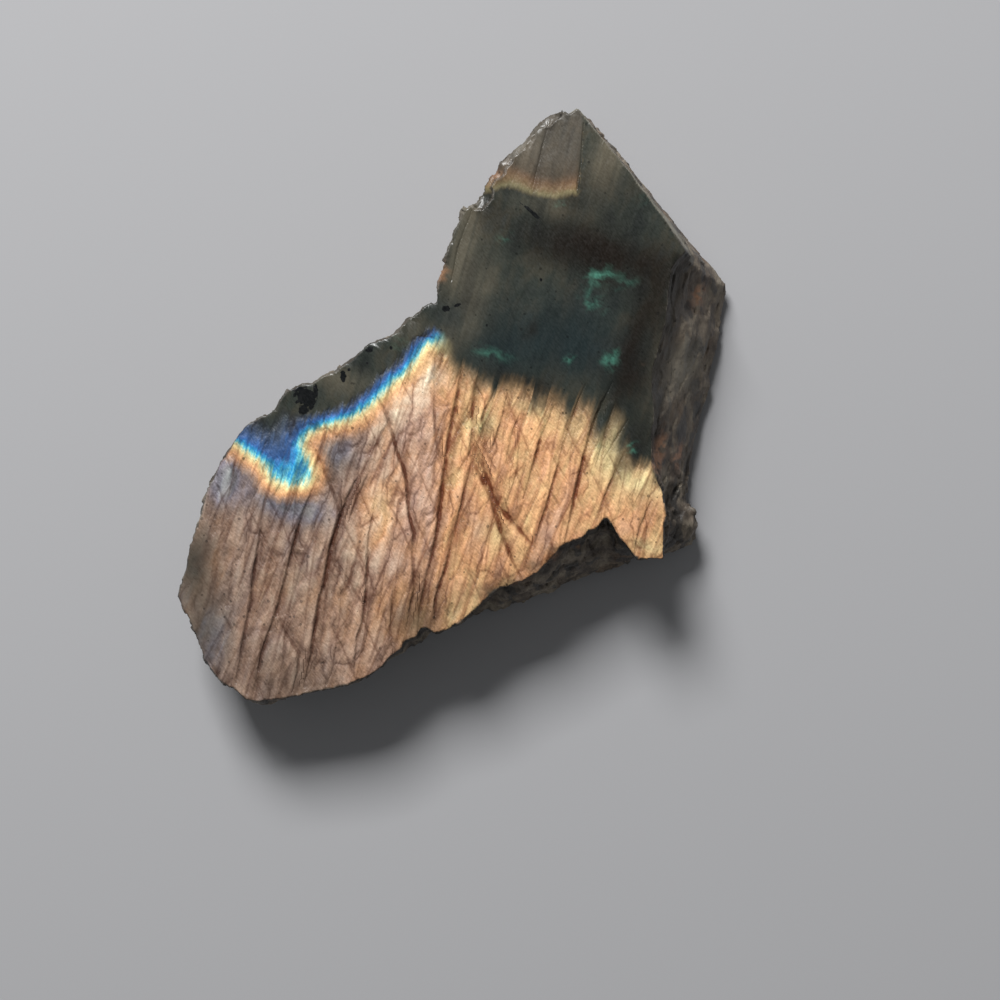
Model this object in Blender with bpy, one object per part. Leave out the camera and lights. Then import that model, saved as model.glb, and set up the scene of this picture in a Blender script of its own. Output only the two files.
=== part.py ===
"""Rough labradorite chunk, modelled as one closed stone.

The stone is a broken slab. Its upper face is ground flat and carries the colour play, its underside is
sawn flat with its edge broken away, and between the two run flanks that each broke in their own way: a
clean cleavage plane, a striated facet, a low foot, a bitten notch and ragged fractures. Each flank is
given by the line where it leaves the upper face, its rim, and the line where it meets the ground, its foot.

Frame: +Z up, origin on the underside below the middle of the stone, long corner of the head to +Y.
"""

import math
from collections import namedtuple

import bmesh
import bpy
from mathutils import Vector, geometry, noise

MM = 0.001

# The upper face. The slab is a wedge, thinner at its left end, and grinding has left long soft waves.
FACE_HEIGHT = 12.2
FACE_RISE_PER_MM = 0.055
FACE_WAVE = 0.22
FACE_WAVE_LENGTH = 11.0

# The rim of the upper face is nibbled, and drops a little more in some places than in others.
RIM_NIBBLE = 0.16
RIM_NIBBLE_LENGTH = 0.9
RIM_DROP_SPREAD = 0.6
RIM_DROP_LENGTH = 2.2

# The underside is flat at ground level, and chips have lifted its edge. A chip reaches this far in.
CHIP_HEIGHT = 1.5
CHIP_HEIGHT_SPREAD = 1.3
LEAST_CHIP_HEIGHT = 0.25
CHIP_REACH = 3.6
CHIP_REACH_SPREAD = 4.2
LEAST_CHIP_REACH = 1.2
CHIP_LENGTH = 5.5

# The feldspar breaks in blocks drawn out along its twin planes, which run nearly along +Y.
TWIN_DIRECTION = Vector((0.26, 0.96, 0.10)).normalized()
TWIN_STRETCH = 3.2
LARGE_BLOCK = 6.5
SMALL_BLOCK = 2.9
SMALL_BLOCK_SHARE = 0.5
BLOCK_SCATTER = 17.3
LUMP_SIZE = 7.0
GRAIN_SIZE = 1.9
GRAIN_OCTAVES = 3
GRAIN_FADE = 0.9
GRAIN_STEP = 2.1
LEDGE_WANDER = 0.55
LEDGE_WANDER_LENGTH = 6.0
RELIEF_ONSET = 3.2
RELIEF_LOSS_AT_FOOT = 0.35

# A crack is open at the upper face as a shallow valley, and tapers out towards its ends.
CRACK_DEPTH = 0.42
CRACK_HALF_WIDTH = 0.5
CRACK_STEP = 1.1
CRACK_CLEARANCE = 1.25
CRACK_FLOOR_CLEARANCE = 1.0
CRACK_SHOULDER_CLEARANCE = 0.45

# Sizes of the triangles that the surface is made of.
STATION_STEP = 1.25
FLANK_LEVELS = 12
FACE_NET = 2.3
UNDERSIDE_NET = 2.1
NET_MARGIN = 0.9
NET_SHIFT = 0.3
NET_SHIFT_LENGTH = 1.1
NET_TOLERANCE = 1e-5

STONE_COLOUR = (0.115, 0.105, 0.085, 1.0)
STONE_ROUGHNESS = 0.42

# How a flank falls from rim to foot: pairs of (share of the way out, share of the way down).
PLANE = ((0.0, 0.0), (0.5, 0.5), (1.0, 1.0))
STEEP_THEN_OUT = ((0.0, 0.0), (0.25, 0.4), (0.6, 0.72), (1.0, 1.0))
LEDGE = ((0.0, 0.0), (0.34, 0.5), (0.52, 0.62), (0.92, 0.72), (1.0, 1.0))
BELLY = ((0.0, 0.0), (-0.5, 0.35), (0.2, 0.7), (1.0, 1.0))
SCOOP = ((0.0, 0.0), (0.2, 0.3), (0.55, 0.5), (0.85, 0.72), (1.0, 1.0))

Flank = namedtuple("Flank", "name rim foot fall drop lumps blocks grain")

# The flanks, clockwise from the tip of the head, in millimetres. drop is how far the rim lies below the
# upper face. lumps, blocks and grain are the heights of the three sizes of fracture relief.
FLANKS = (
    Flank(
        "cleavage plane",
        rim=((15.6, 35.3), (17.2, 33.2), (20.2, 29.6), (23.4, 25.4), (25.6, 22.4), (27.3, 19.6), (28.2, 18.3)),
        foot=((17.4, 36.4), (34.6, 15.2)),
        fall=PLANE, drop=0.2, lumps=0.15, blocks=0.2, grain=0.08,
    ),
    Flank(
        "striated facet",
        rim=((28.2, 18.3), (26.6, 16.4), (26.1, 13.4), (25.9, 10.0), (25.1, 7.0), (24.3, 4.4), (24.2, 1.6),
             (24.5, -1.0), (24.2, -3.8), (24.2, -6.8), (24.7, -8.6), (25.5, -10.3)),
        foot=((34.6, 15.2), (34.3, 11.8), (34.0, 9.0), (33.2, 6.2), (32.0, 2.0), (31.3, -1.6), (30.3, -5.8),
              (29.2, -9.8)),
        fall=PLANE, drop=0.35, lumps=0.5, blocks=0.8, grain=0.25,
    ),
    Flank(
        "low foot",
        rim=((25.5, -10.3), (25.8, -13.0), (25.7, -16.0), (25.7, -18.7)),
        foot=((29.2, -9.8), (28.6, -11.2), (29.8, -11.6), (30.8, -12.8), (31.5, -14.1), (30.7, -15.2),
              (30.2, -16.6), (28.4, -17.8), (26.4, -18.4)),
        fall=LEDGE, drop=0.25, lumps=0.4, blocks=0.7, grain=0.25,
    ),
    Flank(
        "front corner",
        rim=((25.7, -18.7), (24.2, -18.6), (22.5, -18.5)),
        foot=((26.4, -18.4), (24.2, -17.9), (22.6, -18.4)),
        fall=PLANE, drop=0.2, lumps=0.2, blocks=0.5, grain=0.2,
    ),
    Flank(
        "bitten notch",
        rim=((22.5, -18.5), (21.3, -17.4), (20.2, -15.9), (19.4, -14.5), (18.8, -13.1), (18.2, -14.1),
             (17.6, -14.9), (16.7, -15.1)),
        foot=((22.6, -18.4), (21.4, -19.9), (19.2, -20.2), (16.4, -20.9)),
        fall=SCOOP, drop=0.15, lumps=0.3, blocks=0.6, grain=0.3,
    ),
    Flank(
        "ragged front",
        rim=((16.7, -15.1), (16.2, -15.9), (14.7, -16.3), (13.4, -17.0), (12.9, -18.0), (11.6, -19.1),
             (10.5, -20.2), (9.2, -21.0), (7.6, -21.8), (5.8, -22.1), (5.0, -22.8), (3.6, -24.1), (1.0, -26.3)),
        foot=((16.4, -20.9), (13.8, -21.9), (12.3, -22.8), (10.2, -23.5), (6.6, -24.9), (4.6, -25.9),
              (1.2, -27.3)),
        fall=SCOOP, drop=0.3, lumps=0.6, blocks=0.9, grain=0.4,
    ),
    Flank(
        "chipped front",
        rim=((1.0, -26.3), (-0.4, -27.2), (-1.9, -27.5), (-2.6, -26.8), (-3.5, -26.8), (-4.0, -27.9),
             (-5.4, -28.3), (-5.9, -29.5), (-7.2, -30.3), (-8.2, -31.6), (-10.8, -33.2)),
        foot=((1.2, -27.3), (-2.0, -28.5), (-3.6, -29.9), (-5.3, -31.1), (-7.2, -31.7), (-10.4, -33.3)),
        fall=STEEP_THEN_OUT, drop=0.25, lumps=0.4, blocks=0.7, grain=0.3,
    ),
    Flank(
        "belly",
        rim=((-10.8, -33.2), (-13.8, -34.0), (-16.5, -34.7), (-19.5, -35.4), (-22.5, -35.8), (-24.4, -35.8)),
        foot=((-10.4, -33.3), (-14.0, -33.4), (-18.0, -34.2), (-22.0, -34.6), (-23.8, -34.3)),
        fall=BELLY, drop=0.45, lumps=0.5, blocks=0.6, grain=0.25,
    ),
    Flank(
        "lower left end",
        rim=((-24.4, -35.8), (-25.6, -35.1), (-26.2, -34.3), (-27.4, -33.8), (-28.3, -32.8), (-29.3, -31.9),
             (-30.0, -30.6), (-30.7, -28.8), (-31.4, -26.9), (-32.4, -24.8), (-33.1, -23.3)),
        foot=((-23.8, -34.3), (-26.4, -32.6), (-28.7, -30.3), (-30.7, -26.4), (-32.0, -23.2)),
        fall=PLANE, drop=0.5, lumps=0.5, blocks=0.7, grain=0.25,
    ),
    Flank(
        "left side",
        rim=((-33.1, -23.3), (-32.9, -22.2), (-32.1, -19.6), (-31.8, -17.6), (-31.0, -15.2), (-30.3, -12.8),
             (-29.6, -10.6), (-28.7, -8.5), (-27.9, -6.4), (-27.3, -5.9), (-26.2, -4.3), (-25.6, -3.2),
             (-24.4, -2.1), (-22.8, -1.2)),
        foot=((-32.0, -23.2), (-30.9, -18.0), (-29.0, -12.2), (-27.0, -6.8), (-24.8, -3.4), (-22.0, -1.9)),
        fall=BELLY, drop=0.5, lumps=0.6, blocks=0.8, grain=0.25,
    ),
    Flank(
        "clear edge",
        rim=((-22.8, -1.2), (-21.6, -0.6), (-21.0, 0.1), (-19.7, 1.9), (-18.4, 2.6), (-16.7, 2.6), (-15.6, 3.7),
             (-13.7, 4.1), (-12.3, 5.4), (-11.0, 6.5), (-9.8, 7.6), (-7.4, 8.3), (-6.2, 9.2), (-5.2, 10.4),
             (-3.9, 11.2), (-3.2, 12.1), (-2.2, 12.5), (-1.7, 12.3)),
        foot=((-22.0, -1.9), (-19.6, 0.4), (-16.2, 1.8), (-12.9, 3.6), (-9.2, 6.4), (-5.2, 9.2), (-2.2, 11.2),
              (-0.9, 11.6)),
        fall=PLANE, drop=0.3, lumps=0.5, blocks=0.8, grain=0.3,
    ),
    Flank(
        "left of the head",
        rim=((-1.7, 12.3), (-1.6, 14.5), (-1.0, 16.7), (-0.3, 19.0), (0.4, 21.0), (1.2, 23.0), (1.9, 23.9),
             (3.3, 24.4)),
        foot=((-0.9, 11.6), (-0.5, 14.5), (0.6, 19.0), (2.0, 22.6), (4.0, 24.0)),
        fall=PLANE, drop=0.35, lumps=0.4, blocks=0.6, grain=0.2,
    ),
    Flank(
        "crumbled head",
        rim=((3.3, 24.4), (4.0, 26.5), (4.8, 27.7), (5.4, 28.3), (5.8, 29.3), (6.6, 29.9), (8.0, 31.3),
             (9.2, 32.3), (10.6, 33.8), (12.0, 35.1), (13.3, 35.4)),
        foot=((4.0, 24.0), (5.6, 27.0), (8.0, 29.8), (11.2, 33.0), (13.6, 34.8)),
        fall=PLANE, drop=1.3, lumps=0.4, blocks=0.6, grain=0.3,
    ),
    Flank(
        "nicked tip",
        rim=((13.3, 35.4), (14.0, 35.3), (14.1, 34.5), (14.6, 35.2), (15.2, 35.7), (15.6, 35.3)),
        foot=((13.6, 34.8), (15.6, 36.0), (17.4, 36.4)),
        fall=PLANE, drop=0.5, lumps=0.1, blocks=0.1, grain=0.1,
    ),
)

# The cracks that are wide enough to feel, from their upper end to their lower end, in millimetres.
CRACKS = (
    ((-8.9, 1.2), (-7.4, -2.0), (-6.3, -6.0), (-5.2, -9.5), (-4.3, -15.5), (-4.4, -21.0), (-5.5, -27.0)),
    ((-11.3, -9.0), (-12.6, -12.0), (-14.0, -16.0), (-15.2, -21.5), (-16.2, -26.5), (-17.5, -32.6)),
    ((-16.0, -6.0), (-14.6, -9.4), (-13.5, -12.0)),
    ((-16.3, -9.5), (-17.6, -12.5), (-19.3, -18.5), (-21.2, -25.5), (-22.7, -30.5), (-23.7, -34.0)),
    ((-22.5, -12.0), (-23.4, -18.0), (-24.1, -24.0), (-25.0, -28.5), (-25.8, -32.6)),
    ((-21.2, -25.5), (-19.4, -28.2), (-18.3, -31.2)),
    ((-9.8, -13.0), (-9.9, -18.0), (-10.4, -24.5), (-11.4, -30.0)),
    ((1.6, 3.0), (0.5, -2.5), (-0.3, -8.0), (-1.4, -14.0), (-2.8, -20.5), (-3.8, -26.0)),
    ((2.6, -7.0), (1.3, -12.5), (-0.4, -19.0), (-1.8, -25.0)),
    ((1.4, -1.5), (3.4, -7.4), (5.8, -12.2), (9.0, -16.0)),
    ((3.2, -9.0), (5.0, -13.5), (7.3, -18.2), (8.2, -20.2)),
    ((10.8, -3.5), (9.8, -8.5), (9.0, -12.0)),
    ((13.6, -3.5), (12.4, -9.5), (10.6, -15.2)),
    ((18.0, 1.0), (16.2, -6.0), (14.8, -11.5), (14.0, -15.0)),
)


def clear_scene():
    for leftover in list(bpy.data.objects):
        bpy.data.objects.remove(leftover)


def lengths_along(points):
    """How far along a polyline each of its points lies."""
    lengths = [0.0]
    for start, end in zip(points, points[1:]):
        lengths.append(lengths[-1] + (Vector(end) - Vector(start)).length)
    return lengths


def along(points, share):
    """The point at this share of the length of a polyline, from 0 to 1."""
    lengths = lengths_along(points)
    target = share * lengths[-1]
    for start, end, near, far in zip(points, points[1:], lengths, lengths[1:]):
        if target <= far:
            return Vector(start).lerp(Vector(end), (target - near) / (far - near))
    return Vector(points[-1])


def spread(place, length, seed):
    """Smooth noise from about -1 to 1 over the ground plan, whose swells are about this long."""
    return noise.noise(Vector((place.x, place.y, 0.0)) / length + Vector((0.0, 0.0, seed)))


def face_height(place):
    return FACE_HEIGHT + FACE_RISE_PER_MM * place.x + FACE_WAVE * spread(place, FACE_WAVE_LENGTH, seed=3.7)


def chip_height(place):
    """How far the chipped edge of the underside is lifted off the ground."""
    return max(LEAST_CHIP_HEIGHT, CHIP_HEIGHT + CHIP_HEIGHT_SPREAD * spread(place, CHIP_LENGTH, seed=9.1))


def underside_height(place, from_edge):
    """Ground level in the middle of the underside, rising towards its chipped edge."""
    reach = max(LEAST_CHIP_REACH, CHIP_REACH + CHIP_REACH_SPREAD * spread(place, CHIP_LENGTH, seed=6.4))
    return chip_height(place) * max(0.0, 1.0 - from_edge / reach)


def in_twin_frame(point, size):
    """The point in units of size, squeezed along the twin planes so that noise is drawn out that way."""
    scaled = point / size
    run = scaled.dot(TWIN_DIRECTION)
    return scaled - TWIN_DIRECTION * run * (1.0 - 1.0 / TWIN_STRETCH)


def block_step(point, size):
    """One level for each cleavage block, from -0.5 to 0.5, so that neighbouring blocks meet in a ledge."""
    nearest = noise.voronoi(in_twin_frame(point, size))[1][0]
    return noise.cell(nearest * BLOCK_SCATTER) - 0.5


def fracture(point, flank):
    """How far the broken surface stands out at this point."""
    lumps = noise.noise(point / LUMP_SIZE)
    blocks = block_step(point, LARGE_BLOCK) + SMALL_BLOCK_SHARE * block_step(point, SMALL_BLOCK)
    grain = noise.fractal(in_twin_frame(point, GRAIN_SIZE), GRAIN_FADE, GRAIN_STEP, GRAIN_OCTAVES)
    return flank.lumps * lumps + flank.blocks * blocks + flank.grain * grain


def stations():
    """Pairs of flank and share along it, once round the stone, with one at every corner of the rim."""
    for flank in FLANKS:
        lengths = lengths_along(flank.rim)
        for near, far in zip(lengths, lengths[1:]):
            count = max(1, round((far - near) / STATION_STEP))
            for step in range(count):
                yield flank, (near + (far - near) * step / count) / lengths[-1]


def flank_point(flank, share, level):
    """A point of the smooth flank. level runs from 0 at the rim to 1 at the foot."""
    rim = along(flank.rim, share)
    foot = along(flank.foot, share)
    drop = flank.drop * (1.0 + RIM_DROP_SPREAD * spread(rim, RIM_DROP_LENGTH, seed=1.3))
    top = face_height(rim) - drop
    wander = LEDGE_WANDER * spread(rim, LEDGE_WANDER_LENGTH, seed=4.2)
    out, down = along(flank.fall, level + wander * level * (1.0 - level))
    place = rim.lerp(foot, out)
    return Vector((place.x, place.y, top + (chip_height(foot) - top) * down))


def relief_share(level):
    """The fracture relief fades in below the rim, so that the upper face keeps its outline."""
    return math.sin(math.pi / 2 * min(1.0, RELIEF_ONSET * level)) * (1.0 - RELIEF_LOSS_AT_FOOT * level)


def flank_rings():
    """Rings of points from rim to foot, with the fracture relief laid on between them."""
    places = list(stations())
    rings = []
    for i in range(FLANK_LEVELS):
        level = i / (FLANK_LEVELS - 1)
        smooth = [flank_point(flank, share, level) for flank, share in places]
        made = []
        for j, point in enumerate(smooth):
            before, after = smooth[j - 1], smooth[(j + 1) % len(smooth)]
            outward = Vector((before.y - after.y, after.x - before.x, 0.0)).normalized()
            nibble = RIM_NIBBLE * noise.noise(point / RIM_NIBBLE_LENGTH)
            made.append(point + outward * (relief_share(level) * fracture(point, places[j][0]) + nibble))
        rings.append(made)
    return rings


def edge_distance(place, ring):
    """How far a place lies from the nearest edge of a ring."""
    nearest = math.inf
    for start, end in zip(ring, ring[1:] + ring[:1]):
        share = geometry.intersect_point_line(place, start, end)[1]
        nearest = min(nearest, (place - start.lerp(end, min(1.0, max(0.0, share)))).length)
    return nearest


def net_places(ring, step):
    """A staggered, slightly irregular net over a ring, as pairs of place and distance from its edge."""
    low = Vector((min(p.x for p in ring), min(p.y for p in ring)))
    high = Vector((max(p.x for p in ring), max(p.y for p in ring)))
    row_step = step * math.sqrt(3) / 2
    for row in range(int((high.y - low.y) / row_step)):
        for column in range(int((high.x - low.x) / step)):
            place = low + Vector(((column + 0.5 * (row % 2)) * step, row * row_step))
            shift_x = spread(place, NET_SHIFT_LENGTH, seed=5.0)
            shift_y = spread(place, NET_SHIFT_LENGTH, seed=8.0)
            place += Vector((shift_x, shift_y)) * step * NET_SHIFT
            from_edge = edge_distance(place, ring)
            if from_edge > NET_MARGIN:
                yield place, from_edge


def close_ring(mesh, ring_verts, points):
    """Closes a ring with a net of triangles through the given points inside it."""
    outline = [list(range(len(ring_verts)))]
    plan = [v.co.xy for v in ring_verts] + [p.xy for p in points]
    net = geometry.delaunay_2d_cdt(plan, [], outline, 1, NET_TOLERANCE)
    verts = list(ring_verts) + [mesh.verts.new(p) for p in points]
    for corners in net[2]:
        mesh.faces.new([verts[net[3][i][0]] for i in corners])


def crack_stations(crack):
    """Pairs of place and depth down one crack, deepest in its middle."""
    count = round(lengths_along(crack)[-1] / CRACK_STEP)
    for i in range(1, count):
        yield along(crack, i / count), CRACK_DEPTH * math.sin(math.pi * i / count) ** 0.5


def crack_points(ring):
    """Points of every crack that crosses the face inside this ring: its floor and its two shoulders."""
    floors, shoulders = [], []
    for crack in CRACKS:
        stations_down = [s for s in crack_stations(crack) if edge_distance(s[0], ring) > NET_MARGIN]
        across = (Vector(crack[-1]) - Vector(crack[0])).orthogonal().normalized() * CRACK_HALF_WIDTH
        for place, depth in stations_down:
            if all((place - other.xy).length > CRACK_FLOOR_CLEARANCE for other in floors):
                floors.append(place.to_3d() + Vector((0.0, 0.0, face_height(place) - depth)))
                shoulders += [place - across, place + across]
    clear = [s for s in shoulders if all((s - f.xy).length > CRACK_SHOULDER_CLEARANCE for f in floors)]
    return floors + [s.to_3d() + Vector((0.0, 0.0, face_height(s))) for s in clear]


def face_points(ring):
    """The points of the upper face: the cracks, and a net over the rest."""
    points = crack_points(ring)
    for place, _ in net_places(ring, FACE_NET):
        if all((place - p.xy).length > CRACK_CLEARANCE for p in points):
            points.append(Vector((place.x, place.y, face_height(place))))
    return points


def underside_points(ring):
    places = net_places(ring, UNDERSIDE_NET)
    return [Vector((place.x, place.y, underside_height(place, from_edge))) for place, from_edge in places]


def make_stone():
    """The whole stone as one closed mesh, in metres."""
    mesh = bmesh.new()
    rings = [[mesh.verts.new(p) for p in ring] for ring in flank_rings()]
    for upper, lower in zip(rings, rings[1:]):
        for i in range(len(upper)):
            j = (i + 1) % len(upper)
            mesh.faces.new((upper[i], upper[j], lower[j], lower[i]))
    close_ring(mesh, rings[0], face_points([v.co.xy for v in rings[0]]))
    close_ring(mesh, rings[-1], underside_points([v.co.xy for v in rings[-1]]))
    bmesh.ops.triangulate(mesh, faces=mesh.faces[:], quad_method="SHORT_EDGE")
    bmesh.ops.recalc_face_normals(mesh, faces=mesh.faces[:])
    bmesh.ops.scale(mesh, vec=Vector((MM, MM, MM)), verts=mesh.verts[:])
    data = bpy.data.meshes.new("labradorite_chunk")
    mesh.to_mesh(data)
    mesh.free()
    stone = bpy.data.objects.new("labradorite_chunk", data)
    bpy.context.scene.collection.objects.link(stone)
    return stone


def stone_material():
    """Dull olive-grey feldspar, the colour of the stone where it shows no play of colour."""
    material = bpy.data.materials.new("labradorite")
    material.use_nodes = True
    shader = material.node_tree.nodes["Principled BSDF"]
    shader.inputs["Base Color"].default_value = STONE_COLOUR
    shader.inputs["Roughness"].default_value = STONE_ROUGHNESS
    shader.inputs["Metallic"].default_value = 0.0
    return material


clear_scene()
chunk = make_stone()
chunk.data.materials.append(stone_material())
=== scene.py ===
"""Rough labradorite chunk: a broken slab of feldspar whose ground face shows blue, gold and copper flashes.

Places on the stone are in millimetres in the stone's own frame: +X to the right, +Y towards the pointed
head, +Z up out of the ground face.
"""

import math

import bmesh
import bpy
import numpy as np
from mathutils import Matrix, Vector


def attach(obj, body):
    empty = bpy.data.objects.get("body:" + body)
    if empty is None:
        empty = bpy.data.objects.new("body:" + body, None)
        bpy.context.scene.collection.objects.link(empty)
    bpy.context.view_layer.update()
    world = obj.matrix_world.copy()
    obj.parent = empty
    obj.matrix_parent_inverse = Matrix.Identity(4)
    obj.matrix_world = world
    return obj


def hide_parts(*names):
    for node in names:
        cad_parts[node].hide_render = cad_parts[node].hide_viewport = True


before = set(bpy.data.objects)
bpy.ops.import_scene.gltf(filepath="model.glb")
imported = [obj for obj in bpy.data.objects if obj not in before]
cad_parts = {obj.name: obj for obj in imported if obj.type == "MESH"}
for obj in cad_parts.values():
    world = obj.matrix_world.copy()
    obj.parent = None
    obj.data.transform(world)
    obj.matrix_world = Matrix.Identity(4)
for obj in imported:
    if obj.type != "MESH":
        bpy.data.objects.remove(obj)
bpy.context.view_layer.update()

# The stone's body
# One slab of feldspar, ground flat on its upper face and sawn flat below, broken everywhere else.
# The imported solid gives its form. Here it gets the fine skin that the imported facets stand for.

MM = 0.001
SKIN_STEP = 0.23
EASING_PASSES = 3
EASING_FACTOR = 0.5
MERGE_DISTANCE = 0.001
LOWEST_FACE = 8.5
DEEPEST_GROOVE = 0.7
UNDERSIDE_TOP = 1.0


def merged_copy(source, name):
    """A new object with the source's mesh, its loose triangles joined at their corners."""
    mesh = bpy.data.meshes.new(name)
    work = bmesh.new()
    work.from_mesh(source.data)
    bmesh.ops.remove_doubles(work, verts=work.verts, dist=MERGE_DISTANCE * MM)
    work.to_mesh(mesh)
    work.free()
    made = bpy.data.objects.new(name, mesh)
    bpy.context.scene.collection.objects.link(made)
    return made


def places_of(mesh):
    """The mesh's corners in millimetres, one row each."""
    places = np.empty(len(mesh.vertices) * 3)
    mesh.vertices.foreach_get("co", places)
    return places.reshape(-1, 3) / MM


def normals_of(mesh):
    normals = np.empty(len(mesh.vertices) * 3)
    mesh.vertex_normals.foreach_get("vector", normals)
    return normals.reshape(-1, 3)


def smooth_step(values, low, high):
    share = np.clip((values - low) / (high - low), 0, 1)
    return share * share * (3 - 2 * share)


def apply_modifiers(piece):
    """Turns the piece, as its modifiers shape it, into a plain mesh."""
    bpy.context.view_layer.update()
    shaped = piece.evaluated_get(bpy.context.evaluated_depsgraph_get())
    mesh = bpy.data.meshes.new_from_object(shaped)
    piece.modifiers.clear()
    piece.data = mesh


stone = merged_copy(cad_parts["labradorite_chunk"], "labradorite_skin")
skin = stone.modifiers.new("skin", "REMESH")
skin.mode = "VOXEL"
skin.voxel_size = SKIN_STEP * MM
easing = stone.modifiers.new("easing", "SMOOTH")
easing.factor = EASING_FACTOR
easing.iterations = EASING_PASSES
apply_modifiers(stone)


def gentle_curve(places):
    """The terms of a surface that bends a little: all products of x and y up to the third power."""
    x, y = places[:, 0] / 30, places[:, 1] / 30
    return np.stack([x**i * y**j for i in range(4) for j in range(4 - i)], axis=1)


def fill_grooves(mesh):
    """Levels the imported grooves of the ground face, so that the finer cracks below can take their place."""
    places = places_of(mesh)
    upward = normals_of(mesh)[:, 2]
    level = (upward > 0.985) & (places[:, 2] > LOWEST_FACE)
    terms, *_ = np.linalg.lstsq(gentle_curve(places[level]), places[level, 2], rcond=None)
    missing = gentle_curve(places) @ terms - places[:, 2]
    share = smooth_step(upward, 0.50, 0.75) * (np.abs(missing) < DEEPEST_GROOVE)
    places[:, 2] += missing * share
    mesh.vertices.foreach_set("co", (places * MM).ravel())
    mesh.update()


fill_grooves(stone.data)

# Where the colours lie
# The flash is blue, gold or copper by how far apart the feldspar's inner layers lie, and it fades where
# they tilt. These lines and soft patches say where that changes, as fields that the material reads.

# The edge of the main flash, from the left rim to the right one. Above it the head stays dark.
FLASH_EDGE = (
    (-29.5, -2.4), (-26.2, -4.4), (-24.4, -5.7), (-22.9, -6.5), (-22.0, -7.7), (-21.4, -9.0), (-20.3, -9.5),
    (-18.8, -9.5), (-17.2, -9.2), (-16.6, -8.1), (-17.0, -6.8), (-17.8, -5.5), (-18.0, -4.4), (-17.2, -3.4),
    (-16.0, -2.7), (-14.5, -2.2), (-12.6, -1.8), (-11.0, -1.0), (-9.0, 0.6), (-7.3, 2.4), (-6.0, 3.3),
    (-4.8, 4.5), (-3.8, 6.0), (-2.6, 7.6), (-1.4, 6.8), (0.3, 5.4), (1.5, 4.5), (3.2, 3.7), (5.3, 3.1),
    (7.0, 2.4), (8.8, 1.7), (10.5, 1.8), (12.7, 1.2), (14.8, 0.2), (16.1, -0.7), (18.7, -1.4), (20.4, -2.5),
    (21.1, -4.3), (21.8, -6.4), (23.9, -7.5), (25.2, -8.8), (30.0, -10.0),
)
ROUND_THE_HEAD = ((40.0, -10.0), (40.0, 45.0), (-40.0, 45.0), (-40.0, -2.6))

# The lower edge of the small flash in the tip of the head, and the crack that ends it on the right.
TIP_EDGE = ((1.0, 26.0), (5.0, 25.9), (7.2, 26.6), (8.6, 26.0), (10.0, 25.4), (12.5, 25.0), (15.4, 25.4))
TIP_END = ((15.4, 25.4), (15.8, 29.0), (16.1, 33.4), (16.3, 37.0))
ROUND_THE_TIP = ((16.3, 45.0), (0.0, 45.0), (-4.0, 26.0))

# The long straight edge of the cleavage plane, at the upper right of the head, is worn to a pale bevel.
WORN_EDGE = ((15.6, 37.0), (34.6, 14.4))
WORN_WIDTH = 1.9
WORN_DEPTH = 11.5

# The twin planes run nearly along Y and lean to the right at their upper end.
TWIN_LEAN = math.radians(16)

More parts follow.
